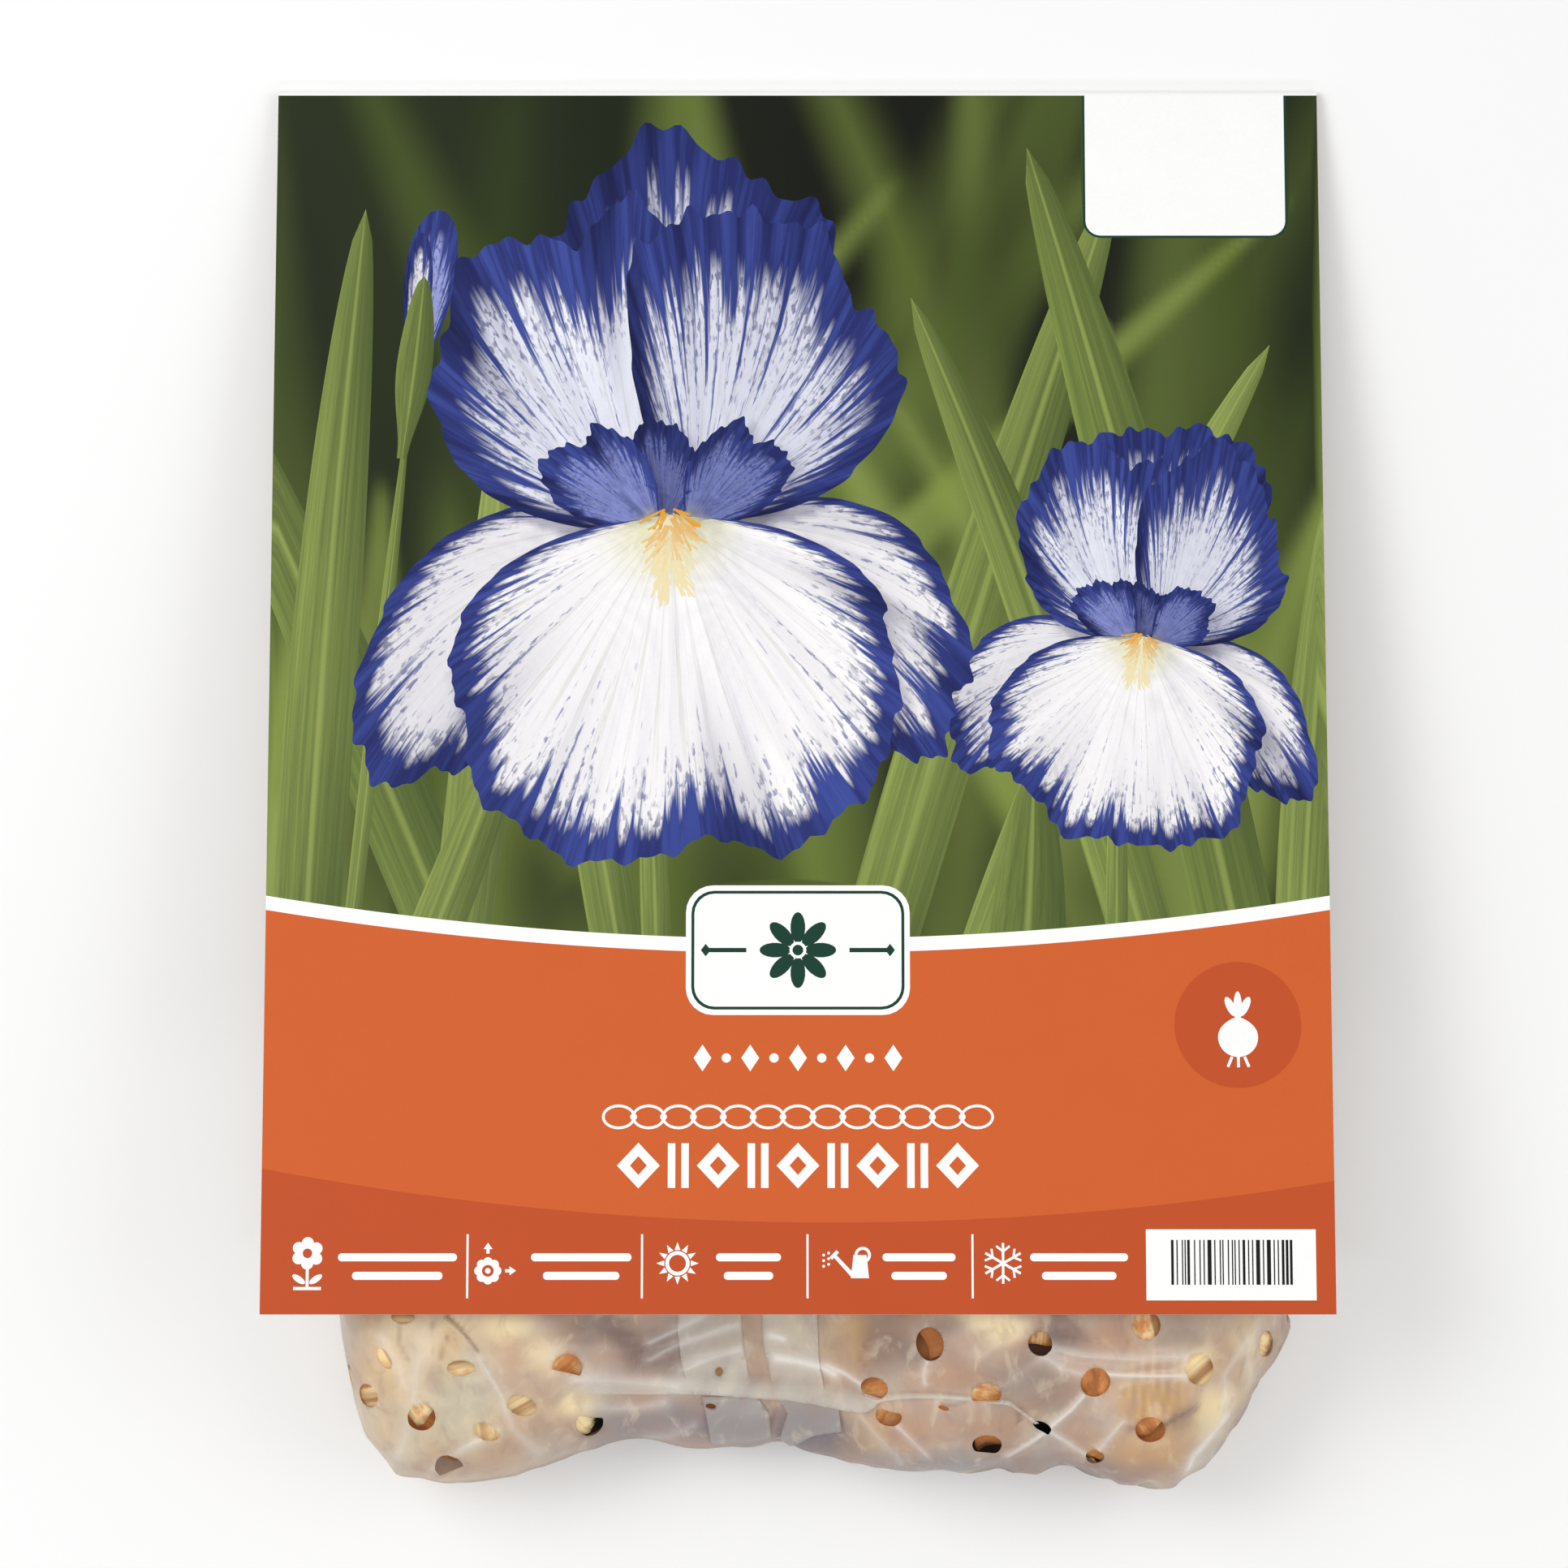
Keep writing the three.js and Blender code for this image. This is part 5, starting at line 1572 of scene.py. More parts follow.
def make_film(settings, material):
    """Both sheets of the bag, with the bands of the lapped seam and the tucked ply on the front."""
    spacing = settings.spacing
    front_vents, back_vents = shown_vents() + vent_rows(VENT.front_rows, 1), vent_rows(VENT.back_rows, -1)
    outline, creases = film_outline(spacing), fold_spots()
    tube = Sheets(settings.crease_depth)
    tube.add(film_patch(outline, front_vents, np.concatenate([film_spots(spacing, True), creases])), 1)
    tube.add(film_patch(outline, back_vents, film_spots(spacing, False)), -1)
    body = face_outwards(tube.piece("film_tube", material))
    thicken(body, settings.thickness)

    bands = Sheets(settings.crease_depth)
    tuck = (tuck_band(), 0.2, MILKY, 0.7)
    for n, (line, ply, *tinted) in enumerate((*PLIES, tuck)):
        edge = plan_to_flat(dense_line(line, 0.8))
        low, high = edge.min(0), edge.max(0)
        grid = np.meshgrid(*(np.arange(low[k], high[k], spacing * 1.2) for k in (0, 1)), indexing="ij")
        inside = creases[((creases > low) & (creases < high)).all(1)]
        spots = np.concatenate([stacked(*grid).reshape(-1, 2), inside])
        share = tuck_share if n == len(PLIES) else None
        bands.add(film_patch(edge, front_vents, spots), 1, 0.24 + 0.13 * n, ply, share, tinted)
    plies = thicken(bands.piece("film_plies", material), settings.thickness * 0.25)
    return joined_pieces("film_bag_soft", [body, plies])


def milky_film(settings):
    """Thin milky film that blurs what it covers, with dark blotches of painted shade, and whitens where it
    is folded, partly as painted highlight.
    """
    desk = Finish("Milky film", Roughness=0.26, IOR=1.5)
    place, tint = desk.place(), desk.attribute("tint")
    film = desk.placed(shared(crumpled_film), Vector=place, Scale=70.0)
    blur = desk.noise(desk.scaled(place, (1.0, 0.6, 0.6)), 230.0, 3.0, 0.55, Distortion=0.5)
    # Painted shade: soft blotches darken the film towards the dark film colour, as over hollows under it.
    mottled = desk.mix(desk.ramp(blur, 0.32, 0.5, 0.35, 0.0), tint["Color"], rgba(settings.shade))
    lit = desk.mix(desk.ramp(blur, 0.54, 0.7, 0.0, 0.35), mottled, rgba(settings.colour))
    # The folds' whiteness, partly painted highlight, whitens the colour and thickens the film.
    white = desk.times(tint["Alpha"], 0.85)
    thin = desk.ramp(film["Haze"], 0.3, 0.7, settings.haze - 0.07, settings.haze + 0.07)
    shown = desk.times(desk.math("MULTIPLY_ADD", white, 0.2, thin, clamp=True), desk.attribute("ply")["Fac"])
    onward = desk.add("ShaderNodeLightPath").outputs["Is Shadow Ray"]
    return desk.feed(
        Base_Color=desk.mix(white, lit, rgba(settings.white)),
        Alpha=desk.times(shown, desk.ramp(onward, 0, 1, 1.0, settings.cast)),
        Normal=desk.bumped(film["Height"], 0.0005, 0.5),
    )


# ---- wood shavings


def ribbon(name, line, widths, thickness):
    """A thin closed strip along a line in the XZ plane, as wide along Y as it is told for each point."""
    step = unit(np.gradient(line[:, [0, 2]], axis=0))
    normal = stacked(-step[:, 1], 0.0, step[:, 0])
    points, strip = [], []
    for point, out, width, length in zip(line, normal, widths, along_line(line)):
        for side, level in ((-0.5, 0.5), (0, 0.62), (0.5, 0.5), (0.5, -0.5), (-0.5, -0.5)):
            edge = point + out * thickness * level + (0, width * side, 0)
            points.append(edge * MM)
            strip.append((length * MM, (edge[1] + 10 * side) * MM * 0.5, 0.0))
    mesh = bpy.data.meshes.new(name)
    mesh.from_pydata(points, [], loft_faces(len(line), 5))
    made = in_scene(name, mesh)
    keep(made, "strip", strip)
    return face_outwards(made)


def curl_kinds():
    """Planer curls to strew: an open curl, a tight one, a flake, a sliver and a broad leaf of wood."""
    draw = random.Random(12)
    kinds = (  # radius, sweep, points, growth, slant, width, taper and thickness
        (4.6, 3.6, 15, 0.2, 0.5, 6.5, 0.5, 0.28),
        (2.7, 7.2, 20, 0.5, 0.35, 5.0, 0.4, 0.25),
        (15, 0.75, 7, 0.0, 0.6, 8.5, 0.45, 0.32),
        (6.5, 2.1, 10, 0.3, 1.4, 2.4, 0.6, 0.3),
        (9.0, 1.7, 10, 0.1, 0.3, 9.5, 0.35, 0.3),
    )
    made = []
    for n, (radius, sweep, count, growth, slant, width, taper, thickness) in enumerate(kinds):
        turns = np.linspace(-sweep / 2, sweep / 2, count)
        reach = radius * (1 + growth * np.linspace(0, 1, count))
        line = stacked(reach * np.sin(turns), slant * turns, reach * np.cos(turns) - radius)
        rough = np.array([draw.uniform(0.9, 1.06) for _ in range(count)])
        widths = width * (1 - taper * abs(np.linspace(-1, 1, count)) ** 2.5) * rough
        made.append(ribbon(f"curl_{n}", line, widths, thickness))
    return made


class GeometryGroup(NodeDesk):
    """A geometry nodes tree that takes a body and gives it back changed, with named inputs."""

    def __init__(self, name, body, **inputs):
        super().__init__(bpy.data.node_groups.new(name, "GeometryNodeTree"))
        self.body = body
        sockets = ((body, "Geometry"), *inputs.items(), ("Finish", "Material"))
        for label, kind in sockets:
            self.socket(label, "INPUT", kind)
        self.socket(body, "OUTPUT", "Geometry")
        self.start = self.add("NodeGroupInput").outputs

    def socket(self, label, way, kind):
        self.tree.interface.new_socket(label.replace("_", " "), in_out=way, socket_type=f"NodeSocket{kind}")

    def end(self, geometry):
        real = self.first("GeometryNodeRealizeInstances", {"Geometry": geometry})
        finished = self.first("GeometryNodeSetMaterial", {"Geometry": real, "Material": self.start["Finish"]})
        self.add("NodeGroupOutput", {self.body: finished})
        return self.tree


def strew_tree(kinds):
    """Geometry nodes that strew curls over a surface."""
    numbers = dict.fromkeys(("Curls_per_square_metre", "Smallest", "Largest", "Sink"), "Float")
    desk = GeometryGroup("Strew curls", "Bed", **numbers, Seed="Int")
    bed, crowd, smallest, largest, sink, seed = desk.start[:6]

    def drawn(kind, low, high, number):
        at = {"FLOAT_VECTOR": 0, "FLOAT": 2, "INT": 4}[kind]
        node = desk.add("FunctionNodeRandomValue", {at: low, at + 1: high, 8: number}, data_type=kind)
        return node.outputs[at // 2]

    shown = desk.first("GeometryNodeInputNamedAttribute", {"Name": "shown"}, data_type="FLOAT")
    spread = desk.add("GeometryNodeDistributePointsOnFaces", distribute_method="RANDOM", inputs={
        "Mesh": bed, "Density": desk.times(shown, crowd), "Seed": seed}).outputs
    under = desk.vector("SCALE", spread["Normal"], Scale=sink)
    depth = desk.vector("SCALE", under, Scale=drawn("FLOAT", -1.0, 0.35, 5))
    placed = desk.first("GeometryNodeSetPosition", {"Geometry": spread["Points"], "Offset": depth})
    joined = desk.add("GeometryNodeJoinGeometry")
    for kind in kinds:
        info = desk.add("GeometryNodeObjectInfo", {"Object": kind, "As Instance": True})
        desk.tree.links.new(info.outputs["Geometry"], joined.inputs[0])
    tilt = drawn("FLOAT_VECTOR", (-0.5, -0.5, -math.pi), (0.5, 0.5, math.pi), 2)
    spin = desk.first("FunctionNodeEulerToRotation", {"Euler": tilt})
    turning = {"Rotation": spread["Rotation"], "Rotate By": spin}
    aligned = desk.first("FunctionNodeRotateRotation", turning, rotation_space="LOCAL")
    strewn = desk.first("GeometryNodeInstanceOnPoints", {
        "Points": placed, "Instance": joined.outputs[0], "Pick Instance": True, "Rotation": aligned,
        "Instance Index": drawn("INT", 0, len(kinds) - 1, 1), "Scale": drawn("FLOAT", smallest, largest, 3)})
    tone = {"Geometry": strewn, "Name": "tone", "Value": drawn("FLOAT", 0.0, 1.0, 4)}
    return desk.end(desk.first("GeometryNodeStoreNamedAttribute", tone, data_type="FLOAT", domain="INSTANCE"))


def give_nodes(piece, tree, **values):
    """Adds a geometry nodes modifier, sets its inputs by their identifiers, and applies it."""
    modifier = piece.modifiers.new(tree.name, "NODES")
    modifier.node_group = tree
    for item in tree.interface.items_tree:
        label = item.name.replace(" ", "_")
        if item.in_out == "INPUT" and label in values:
            modifier[item.identifier] = values[label]
    return apply_modifiers(piece)


def bed_core():
    """The dense middle of the bed, further from the film where the film is seen."""
    columns, rows = 72, 46
    top_t = (BAG.mouth_y - BED_TOP) / BAG.length
    down = lerp(top_t, 1.0, 1 - (1 - np.linspace(0, 1, rows)) ** 1.5)
    angle = np.linspace(-math.pi / 2, math.pi / 2, columns)
    s = 0.5 * np.sin(angle) + 0.5 * angle / (math.pi / 2)
    rings = []
    for t in down[::-1]:
        inset = lerp(4.2, 2.2, smoothstep(BAG.mouth_y - t * BAG.length, -2, 14))
        over, under = (bag_point(s, t, side, inset) for side in (1, -1))
        rings.append(np.concatenate([over, under[-2:0:-1]]))
    points = np.concatenate(rings)
    wobble = lumps(points, 6.0) + 0.6 * lumps(points, 2.6)
    middle = (points - (0, 0, 15)) * (1, 0, 1)
    reach = np.maximum(np.linalg.norm(middle, axis=1, keepdims=True), 1)
    points = points - middle / reach * (0.9 + wobble[:, None])
    return points, loft_faces(rows, len(rings[0]))


def off_the_rhizome(points, gap=0.8):
    """Pushes points of the bed out of the room that the stem takes up."""
    spine, _, lateral = spine_frames(120)
    near = np.nonzero(((points[:, :2] > (-80, -12)) & (points[:, :2] < (36, 84))).all(1))[0]
    moved = points[near]
    nearest = np.array([np.argmin(((spine - p) ** 2).sum(1)) for p in moved])
    offset = moved - spine[nearest]
    wide, high = (offset * lateral[nearest]).sum(1), offset[:, 2]
    grown = girth(nearest / (len(spine) - 1)) * 1.09
    share = np.hypot(wide / (RHIZOME.half_width * grown + gap), high / (RHIZOME.half_depth * grown + gap))
    push = np.where(share < 1, np.minimum(1 / np.maximum(share, 0.05), 6), 1.0)
    moved = moved + lateral[nearest] * (wide * (push - 1))[:, None]
    moved[:, 2] += high * (push - 1)
    points[near] = moved
    return points


def under_the_film(points, clearance=0.75, ease=1.6):
    """Presses points of the bed in under the film, and keeps their order in depth."""
    points = points.copy()
    for x, y, reach, deep in HOLLOWS:
        near = np.exp(-(((points[:, 0] - x) ** 2 + (points[:, 1] - y) ** 2) / reach**2) ** 1.5)
        points[:, 2] -= deep * near * (points[:, 2] > 6)
    s, t = bag_place(points[:, 0], points[:, 1])
    edge = 0.962
    s = np.clip(s, -edge, edge)
    t = np.minimum(t, 1 - 2.6 / BAG.length)
    over, below = bag_point(s, t, 1), bag_point(s, t, -1)
    room = over[:, 2] - below[:, 2]
    gap = np.minimum(clearance * (1 + 5 * smoothstep(abs(s), 0.93, edge)), room * 0.3)
    soft = np.minimum(ease, room * 0.25)
    level = points[:, 2]
    for surface, way in ((over[:, 2], 1), (below[:, 2], -1)):
        depth = way * (surface - level) - gap
        eased = np.where(depth < soft, soft * np.exp(np.minimum(depth - soft, 0) / soft), depth)
        level = surface - way * (eased + gap)
    return stacked(over[:, 0], over[:, 1], level)


def vent_chips(material):
    """The chips that show in the vents: slightly cupped leaves of wood that lie against the film."""
    draw = random.Random(9)
    columns, rows = 8, 6
    u, v = (share.ravel() for share in np.meshgrid(np.linspace(-1, 1, columns), np.linspace(-1, 1, rows)))
    corners = np.arange(rows * columns).reshape(rows, columns)
    faces = stacked(corners[:-1, :-1], corners[:-1, 1:], corners[1:, 1:], corners[1:, :-1]).reshape(-1, 4)
    points, all_faces, tones, strips = [], [], [], []

    def chip(x, y, reach, tone, rise):
        n = len(points)
        ragged = 1 + 0.12 * np.sin(5 * u + n) * np.cos(4 * v + 2 * n)
        local = stacked(u * reach * 1.15, v * reach) * ragged[:, None]
        plan = turned(local, draw.uniform(-1.5, 1.5)) + (x, y)
        s, t = bag_place(plan[:, 0], plan[:, 1])
        cup = draw.uniform(-1.2, 0.9) * v**2 + draw.uniform(-1.1, 1.1) * u + draw.uniform(-0.6, 0.6) * v
        skin = bag_point(np.clip(s, -0.955, 0.955), np.minimum(t, 0.985), 1)
        points.append(skin + stacked(0, 0, rise + cup))
        all_faces.extend((faces + n * len(u)).tolist())
        tones.append(np.full(len(u), tone))
        strips.append(stacked(local[:, 0] + 30 * n, local[:, 1] * 0.5, 0) * MM)

    for x, y, half_width, half_height, _, _, seen in SHOWN_VENTS:
        reach = max(half_width, half_height) + 1.0
        x -= math.copysign(1.2 * smoothstep(abs(x), 84, 92), x)
        if len(seen) == 1:
            chip(x + draw.uniform(-0.8, 0.8), y + draw.uniform(-0.8, 0.8), reach, seen[0], -0.3)
        elif seen:
            upper, lower, way = seen
            aside = turned((reach * 1.05, 0), math.radians(way))
            chip(x - aside[0] * 0.2, y - aside[1] * 0.2, reach, lower, -2.0)
            chip(x + aside[0], y + aside[1], reach, upper, 0.3)
    chips = new_piece("vent_chips", np.concatenate(points), all_faces, [material])
    keep(chips, "tone", np.concatenate(tones))
    keep(chips, "strip", np.concatenate(strips))
    return thicken(chips, 0.3)


def places_of(mesh):
    """The points of a mesh, in metres."""
    co = np.empty(len(mesh.vertices) * 3)
    mesh.vertices.foreach_get("co", co)
    return co.reshape(-1, 3)


def tone_by_place(piece):
    """Leaves the curls paler on the left of the bag, and more golden on the right."""
    tones = piece.data.attributes["tone"].data
    drawn = np.empty(len(tones))
    tones.foreach_get("value", drawn)
    across = places_of(piece.data)[:, 0] / MM
    tones.foreach_set("value", 0.7 * drawn + lerp(-0.12, 0.26, smoothstep(across, -30, 25)))


def make_shavings(settings, material):
    """The bed: strewn curls on a dense middle, with chips in the vents, all kept under the film."""
    points, faces = bed_core()
    core = new_piece("bed_core", points, faces, [material])
    keep(core, "shown", np.where(points[:, 1] < 10, 1.0, 0.1) * np.where(points[:, 2] > 9, 1.0, 0.35))
    face_outwards(core)
    kinds = curl_kinds()
    heap = in_scene("bed_curls", core.data.copy())
    give_nodes(heap, strew_tree(kinds), Seed=settings.seed, Sink=3.4 * MM, Smallest=settings.smallest,
               Largest=settings.largest, Finish=material, Curls_per_square_metre=settings.crowd)
    tone_by_place(heap)
    for kind in kinds:
        remove(kind)
    thicken(core, 0.8)
    keep(core, "tone", np.full(len(core.data.vertices), 0.55))
    keep(core, "strip", places_of(core.data))
    piece = joined_pieces("strewn_shavings", [heap, core, vent_chips(material)])
    mesh = piece.data
    mesh.materials.clear()
    mesh.materials.append(material)
    mesh.polygons.foreach_set("material_index", [0] * len(mesh.polygons))
    local = off_the_rhizome(places_of(mesh) / MM - (0, SHIFT_Y, 0))
    mesh.vertices.foreach_set("co", to_frame(under_the_film(local)).ravel())
    mesh.update()
    return piece


def pale_wood(settings):
    desk = Finish("Pale wood", Roughness=0.72, Specular_IOR_Level=0.35)
    colours = dict(Pale=rgba(settings.pale), Golden=rgba(settings.golden), Dark=rgba(settings.dark))
    strip, tone = desk.attribute("strip")["Vector"], desk.attribute("tone")["Fac"]
    wood = desk.placed(shared(wood_figure), Vector=strip, Tone=tone, **colours)
    return desk.feed(Base_Color=wood["Color"], Normal=desk.bumped(wood["Height"], 0.0002, 0.6))


# ---- rhizome, roots and leaves


def girth(along, ring_depth=0.0):
    """Relative girth along the rhizome: a blunt old end, a waist at each new season, and a tapering tip."""
    along = np.asarray(along, float)
    blunt = rounded(np.maximum(along, 0.014), 0.12)
    seasons = 1 - 0.13 * bump(along, 0.36, 0.05) - 0.1 * bump(along, 0.68, 0.05)
    taper = 1 - 0.42 * smoothstep(along, 0.72, 1)
    return blunt * seasons * taper * (1 + ring_depth * np.cos(along * RHIZOME.rings * ROUND))


def spine_frames(count):
    """Places along the spine with the way along it and across it."""
    line = smooth_line(RHIZOME.spine, count)
    tangent = unit(np.gradient(line, axis=0))
    return line, tangent, unit(np.cross((0, 0, 1), tangent))


def stem_shape():
    """The ringed stem, with the frayed collars of old leaves on each ring."""
    steps, around = 150, 56
    line, _, lateral = spine_frames(steps)
    along = np.linspace(0, 1, steps)[:, None]
    angle = np.linspace(0, ROUND, around, endpoint=False)
    knobs = 1 + 0.035 * np.sin(angle * 3 + along * 9) + 0.03 * np.sin(angle * 5 - along * 14)
    collars = 0.02 * np.sin(along * RHIZOME.rings * 3 * ROUND + 0.7 * np.sin(angle * 4))
    grown = girth(along, RHIZOME.ring_depth) * (knobs + collars + 0.012 * np.sin(angle * 23 + along * 60))
    wide, high = np.cos(angle) * RHIZOME.half_width * grown, np.sin(angle) * RHIZOME.half_depth * grown
    points = line[:, None] + wide[..., None] * lateral[:, None] + high[..., None] * (0, 0, 1)
    return points.reshape(-1, 3), loft_faces(steps, around)


def growth_shape(along, side, length, radius, lift):
    """A short side growth with a pointed bud, wrapped in scales."""
    line, tangents, laterals = spine_frames(201)
    at = round(along * 200)
    heading = unit(laterals[at] * side + tangents[at] * 0.55)
    start = line[at] + laterals[at] * side * RHIZOME.half_width * 0.62 + (0, 0, lift)
    beside = np.cross(heading, (0, 0, 1))
    above = np.cross(beside, heading)
    profile = smooth_line(((0.01, 0), (1, 0.02), (1.06, 0.35), (0.8, 0.7), (0.3, 0.97), (0.02, 1.06)), 26)
    angle = np.linspace(0, ROUND, 28, endpoint=False)
    rings = []
    for n, (wide, far) in enumerate(profile):
        reach = wide * radius * (1 + 0.03 * np.sin(angle * 2 + far * 8) + 0.02 * math.sin(n * 1.7))
        ring = start + heading * far * length + np.outer(np.cos(angle) * reach, beside)
        rings.append(ring + np.outer(np.sin(angle) * reach, above))
    return np.concatenate(rings), loft_faces(len(profile), len(angle))


def rows_of_chance(seed):
    """A repeatable row of random numbers between 0 and 1."""
    state = seed
    while True:
        state = (state * 1664525 + 1013904223) % 4294967296
        yield state / 4294967296


def root_lines(count=11, steps=4):
    """The wavy line of each root, from the lower flank of the rhizome out into the bed."""
    chance = rows_of_chance(20)
    line, tangents, laterals = spine_frames(1001)
    lines = []
    for n in range(count):
        at = round(lerp(0.14, 0.9, n / (count - 1)) * 1000)
        tangent, lateral = tangents[at], -laterals[at]
        length = lerp(20, 44, next(chance)) + RHIZOME.half_width * 0.5
        heading = lateral + tangent * lerp(-0.45, 0.45, next(chance))
        heading[2] = -0.1
        heading = unit(heading)
        start = line[at] + lateral * RHIZOME.half_width * 0.45
        start[2] -= RHIZOME.half_depth * lerp(0.35, 0.62, next(chance))
        reach = min(length, (RHIZOME.root_end - start[1]) / heading[1])
        phase = next(chance) * 6
        points = []
        for k in range(steps + 1):
            share = k / steps
            point = start + heading * share * reach + tangent * 2.4 * share * math.sin(phase + k * 1.15)
            level = point[2] + 1.6 * share * math.sin(phase * 1.7 + k * 1.4)
            point[2] = min(max(level, RHIZOME.root_floor), RHIZOME.root_roof)
            points.append(point)
        lines.append(smooth_line(points, 30))
    return lines


def root_tree():
    """Geometry nodes that give each line a round, tapering skin."""
    desk = GeometryGroup("Root skin", "Lines", Radius="Float", Sides="Int")
    lines, radius, sides = desk.start[:3]
    along = desk.add("GeometryNodeSplineParameter").outputs["Factor"]
    knots = desk.noise(desk.first("GeometryNodeInputPosition"), 420.0, 2.0)
    taper = desk.times(desk.ramp(along, 0.0, 1.0, 1.05, 0.55), desk.ramp(knots, 0.3, 0.7, 0.85, 1.1))
    tapered = desk.times(taper, radius)
    curves = desk.first("GeometryNodeMeshToCurve", {"Mesh": lines})
    sized = desk.first("GeometryNodeSetCurveRadius", {"Curve": curves, "Radius": tapered})
    ring = desk.first("GeometryNodeCurvePrimitiveCircle", {"Resolution": sides, "Radius": 1.0})
    skin = {"Curve": sized, "Profile Curve": ring, "Scale": tapered, "Fill Caps": True}
    return desk.end(desk.first("GeometryNodeCurveToMesh", skin))


def make_rhizome(settings, material):
    """The stem with its side growths and roots, fused into one skin."""
    solids = [new_piece("stem", *stem_shape(), [material])]
    for growth in ((0.52, 1, 17, 8.5, -2), (0.8, -1, 13, 6.5, 0)):
        solids.append(new_piece("side_growth", *growth_shape(*growth), [material]))
    lines = root_lines()
    count = len(lines[0])
    edges = [(r * count + i, r * count + i + 1) for r in range(len(lines)) for i in range(count - 1)]
    mesh = bpy.data.meshes.new("root_lines")
    mesh.from_pydata(to_frame(np.concatenate(lines)).tolist(), edges, [])
    roots = in_scene("root_lines", mesh)
    solids.append(give_nodes(roots, root_tree(), Radius=settings.root_radius * MM, Sides=10, Finish=material))
    piece = joined_pieces("ringed_rhizome", [face_outwards(solid) for solid in solids])
    skin = piece.modifiers.new("one skin", "REMESH")
    skin.mode = "VOXEL"
    skin.voxel_size = 0.75 * MM
    skin.use_smooth_shade = True
    apply_modifiers(piece)
    if not piece.data.materials:
        piece.data.materials.append(material)
    return piece


def plant_finish(name, fixed, turn, factors, scale, colours, distance, strength):
    """Skin of a plant with the figure drawn out along one way."""
    desk = Finish(name, **fixed)
    drawn_out = desk.scaled(desk.place(), factors, turn)
    inks = {name: rgba(colour) for name, colour in zip(("Base", "Streak", "Speck"), colours)}
    look = desk.placed(shared(plant_skin), Vector=drawn_out, Scale=scale, **inks)
    return desk.feed(Base_Color=look["Color"], Normal=desk.bumped(look["Height"], distance, strength))


def rhizome_skin(settings):
    fixed = dict(Roughness=0.78, Specular_IOR_Level=0.3)
    colours = (settings.skin, srgb(188, 150, 104), srgb(84, 56, 36))
    turn = -math.radians(38)
    return plant_finish("Rhizome skin", fixed, turn, (6.0, 1.0, 1.0), 160.0, colours, 0.0006, 0.8)


def dry_leaf(settings):
    fixed = dict(Roughness=0.6, Specular_IOR_Level=0.35)
    colours = (settings.leaf, srgb(186, 176, 112), srgb(120, 100, 60))
    return plant_finish("Dry leaf", fixed, -FAN.heading, (0.3, 2.2, 1.0), 260.0, colours, 0.0003, 0.7)


def sword_leaf(angle, lift, length, slant, rows=40, columns=15):
    """One cut-back sword leaf with fine ribs and a slanting cut, about the fan's foot."""
    share = np.linspace(0, 1, rows)[:, None]
    across = np.linspace(-1, 1, columns)
    x = share * (length - slant + (across + 1) * slant)
    y = across * FAN.base_width / 2 * (0.8 + 0.78 * share - 0.48 * share**2)
    lens = np.sqrt(np.clip(1 - across**2, 0, 1))
    body = FAN.thickness / 2 * (0.3 + 0.7 * lens) + 0.08 * np.cos(across * math.pi * 6) * lens
    sway = 0.5 * np.sin(share * 3.0 + angle * 5) * share
    over, under = (stacked(x, y, lift + way * body + sway) for way in (0.9, -0.9))
    rings = np.concatenate([over, under[:, -2:0:-1]], 1)
    points = rings.reshape(-1, 3)
    points[:, :2] = turned(points[:, :2], angle)
    return points, loft_faces(*rings.shape[:2])


def foot_wrap(rings=26, count=40):
    """The leaf that wraps the foot of the fan."""
    share = np.linspace(0, 1, rings)[:, None]
    angle = np.linspace(0, ROUND, count, endpoint=False)
    radius = FAN.foot_radius * (1 - 0.22 * share) * (1 + 0.02 * np.cos(angle * 9 + share * 4))
    radius = radius * rounded(np.minimum(share, 1 - share) + 0.01, 0.12)
    x = FAN.foot_radius * lerp(-0.2, 2.3, share)
    points = stacked(x, np.cos(angle) * radius, np.sin(angle) * radius * FAN.flatness)
    return points.reshape(-1, 3), loft_faces(rings, count)


def make_leaf_fan(material):
    """The cut-back leaves with the leaf that wraps their foot, laid in the bed."""
    shapes = []
    for n in range(FAN.leaves):
        share = n / (FAN.leaves - 1) - 0.5
        lift = (1 if n % 2 else -1) * FAN.thickness * 0.42 * (1 + abs(share))
        shapes.append(sword_leaf(share * FAN.spread, lift, FAN.length * (1 - 0.68 * abs(share)), share * 9))
    shapes.append(foot_wrap())
    points, faces, first = [], [], 0
    for made, quads in shapes:
        points.append(made)
        faces += [tuple(i + first for i in face) for face in quads]
        first += len(made)
    turn = Matrix.Rotation(FAN.heading, 3, "Z") @ Matrix.Rotation(FAN.dip, 3, "Y")
    placed = np.concatenate(points) @ np.array(turn).T + FAN.foot
    return face_outwards(new_piece("cut_leaves", placed, faces, [material]))


def set_glue():
    desk = Finish("Set glue", Roughness=0.38, IOR=1.48)
    film = desk.placed(shared(fine_grain), Vector=desk.place(), Scale=420.0, Depth=0.16)
    colour = desk.mix(1.0, rgba(srgb(236, 226, 198)), film["Mottle"], "MULTIPLY")
    return desk.feed(Base_Color=colour, Normal=desk.bumped(film["Height"], 0.0002, 0.8))


# ---- settings


def colour_setting(name, description, colour):
    kind = dict(subtype="COLOR", size=4, min=0, max=1)
    return FloatVectorProperty(name=name, description=description, default=rgba(colour), **kind)


def number(name, description, value, least, **more):
    return FloatProperty(name=name, description=description, default=value, min=least, **more)


